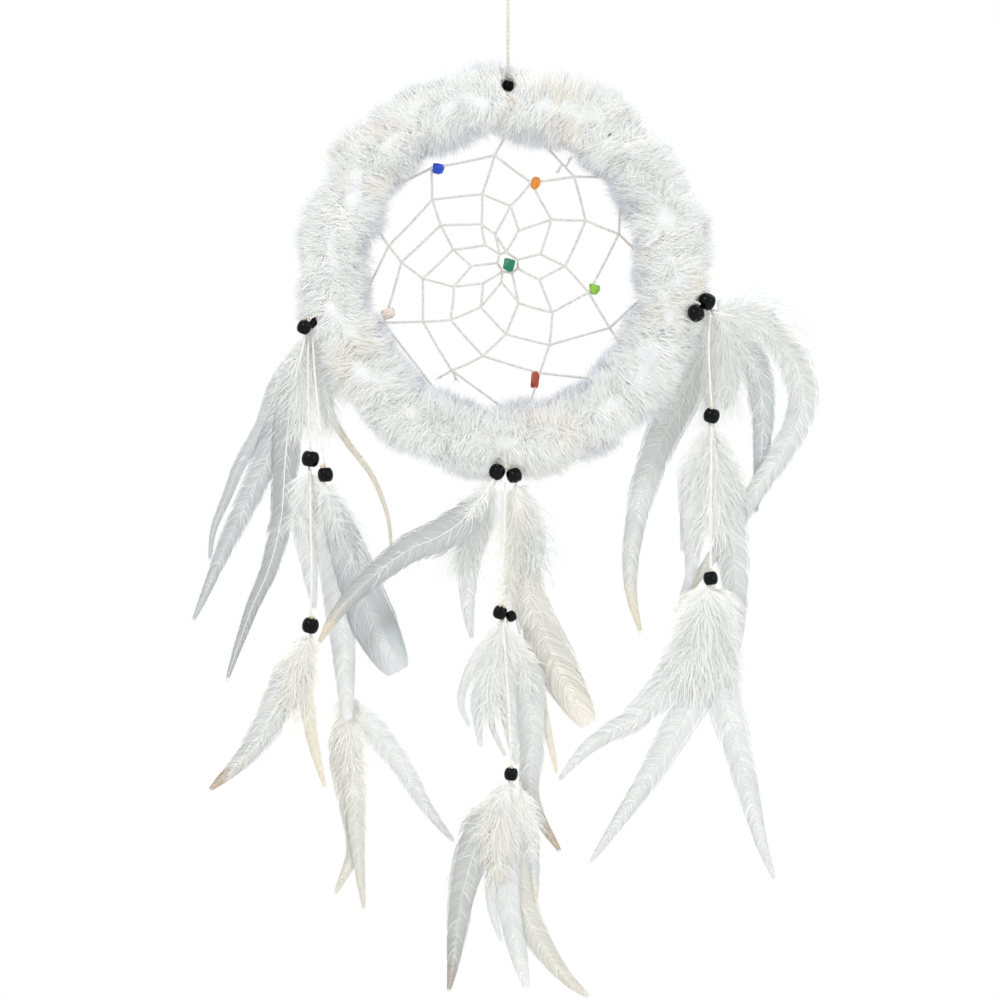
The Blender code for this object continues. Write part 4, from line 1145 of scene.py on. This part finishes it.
    def fluff(self):
        """Loose down round the root, and the few long hairs that fringe the vane above it."""
        random = self.random
        rooted = int(self.length * self.down * FLUFF_PER_MM * (0.5 + self.width / 28))
        fringe = int(self.length * 1.6 * self.ragged)
        count = rooted + fringe
        s = np.concatenate([random.uniform(0.6, (self.down + 0.05) * self.length, rooted),
                            random.uniform(0.0, 0.62 * self.length, fringe)])
        side = random.choice((-1.0, 1.0), count)
        lean = np.radians(np.clip(random.normal(50, 19, count), 8, 100))
        full = np.minimum(1.0, 0.4 + s / 14.0)
        long = self.width * random.uniform(0.35, 0.98, count) * (0.62 + 0.28 * self.ragged) * full
        u = np.linspace(0.0, 1.0, BARB_STATIONS)[None, :]
        lean = lean[:, None] - np.radians(26.0) * u
        waves = random.uniform(2, 7, count)[:, None]
        phase = random.uniform(0, 6, count)[:, None]
        ripple = np.sin(u * waves + phase)
        place, forward, across = self.shaft.at(s)
        sideways = (side[:, None] * (np.sin(lean) * long[:, None] * u) + 0.35 * ripple * u)[..., None]
        ahead = (np.cos(lean) * long[:, None] * u)[..., None]
        line = place[:, None] + forward[:, None] * ahead + across[:, None] * sideways
        lift = random.normal(0, 0.14, count)[:, None] * long[:, None] * u
        line[..., 1] = self.depth(line[..., 2]) + np.clip(lift, -2.6, 2.6)
        direction = unit(np.gradient(line, axis=1))
        facing = np.array((0.0, 1.0, 0.0)) + random.normal(0, 0.5, (count, 1, 3))
        edge_way = unit(np.cross(direction, facing))
        half = random.uniform(0.09, 0.16, count)[:, None] * (1.0 - 0.78 * u ** 1.5)
        shade = np.full((count, BARB_STATIONS - 1), DOWN)
        shade[random.uniform(0, 1, count) < 0.35, 2:] = INNER
        shade[:, -1] = random.choice((DOWN, INNER, VANE), count, p=(0.35, 0.4, 0.25))
        edge = edge_way * half[..., None]
        self.gather.add_strips(line + edge, line - edge, shade)

    def quill(self):
        s = np.linspace(-2.2, 0.985 * self.length, max(8, int(self.length / 2)))
        place, _, _ = self.shaft.at(s)
        place[:, 1] = self.depth(place[:, 2]) - 0.14
        thick = np.interp(s / self.length, (0.0, 0.3, 1.0), (0.36, 0.19, 0.05))
        thick = thick * (0.75 + self.width / 60) * SHAFT_STOUTNESS.get(self.name, 1.0)
        points, faces = tube_points(place, np.minimum(thick, 0.75), 6)
        self.gather.add(points, faces, SHAFT)

    def make(self, materials):
        self.vane()
        self.barbs(-1.0)
        self.barbs(1.0)
        self.fluff()
        self.quill()
        stands_for = [self.name] if self.name.startswith("feather") else []
        obj = self.gather.make(self.name + ("_vane" if stands_for else ""), materials)
        finish_piece(obj, self.body, "feather", *stands_for)


# ---------------------------------------------------------------- studio

def area_light(name, place, aim, size, power):
    data = bpy.data.lights.new(name, "AREA")
    data.shape = "SQUARE"
    data.size = size
    data.energy = power
    obj = bpy.data.objects.new(name, data)
    obj.location = place
    obj.rotation_euler = (Vector(aim) - Vector(place)).to_track_quat("-Z", "Y").to_euler()
    bpy.context.scene.collection.objects.link(obj)


def studio():
    """White surroundings, soft light from the upper left, and a pale floor below."""
    world = bpy.data.worlds.new("studio")
    bpy.context.scene.world = world
    world.use_nodes = True
    tree = world.node_tree
    background = tree.nodes["Background"]
    background.inputs["Color"].default_value = (1.0, 1.0, 1.0, 1.0)
    rays = tree.nodes.new("ShaderNodeLightPath")
    level = tree.nodes.new("ShaderNodeMapRange")
    level.inputs["To Min"].default_value = 0.93
    level.inputs["To Max"].default_value = 1.0
    tree.links.new(rays.outputs["Is Camera Ray"], level.inputs["Value"])
    tree.links.new(level.outputs["Result"], background.inputs["Strength"])
    middle = (0.0, 0.0, -0.27)
    area_light("key", (-0.9, -1.5, 0.7), middle, 0.35, 10.0)
    area_light("fill", (1.3, -1.2, 0.1), middle, 1.2, 6.0)
    area_light("top", (0.2, 0.4, 1.1), middle, 0.9, 9.0)
    bpy.context.scene.view_settings.view_transform = "Standard"
    bpy.ops.mesh.primitive_plane_add(size=1.9, location=(0.0, 0.0, -0.62))
    floor = bpy.context.object
    floor.name = "floor"
    floor.data.materials.append(plain("floor", (232, 232, 230), 0.8))


def main():
    camera()
    cord_cotton = fibre_material("cord_cotton", (226, 223, 214), (250, 248, 242))
    knot_cotton = fibre_material("knot_cotton", (222, 210, 184), (244, 236, 214))
    hanging_cotton = fibre_material("hanging_cotton", (200, 196, 186), (234, 231, 222))
    cords(cord_cotton, hanging_cotton, knot_cotton)
    web(fibre_material("web_cotton", (196, 194, 190), (232, 230, 226)))
    glass = bead_material()
    bead("bead_top", "hoop", 12.0, glass)
    for name, body, lean in BEADS:
        bead(name, body, lean, glass)
    for values in STONES:
        stone(*values)
    for ring_slot in bpy.data.objects["hoop_ring"].material_slots:
        ring_slot.material = metal_material()
    hide_strip(hide_material())
    underfur(underfur_material())
    # The last number of each hair material is its painted glow, a little white light of its own that
    # keeps the fur's shadows pale.
    guard_hair([plain("hair_white", (236, 237, 236), 0.9, 0.12, 0.07),
                plain("hair_cream", (237, 234, 226), 0.9, 0.12, 0.07),
                # The grey hair material is painted shade for the ring's edges.
                plain("hair_painted_shade", (216, 220, 226), 0.9, 0.12, 0.05),
                plain("hair_tan", (226, 213, 192), 0.9, 0.12, 0.04)])
    palettes = {}
    for palette, colours in PALETTES.items():
        words = ("down", "inner", "vane", "edge", "tip")
        palettes[palette] = [plain(f"barb_{palette}_{word}", colour, 0.8, 0.15)
                             for word, colour in zip(words, colours)]
    shaft_material = plain("feather_shaft", (239, 239, 235), 0.6)
    for values in FEATHERS:
        plume = Feather(values)
        plume.make([*palettes[plume.palette], shaft_material])
    studio()
    bpy.context.view_layer.update()


main()
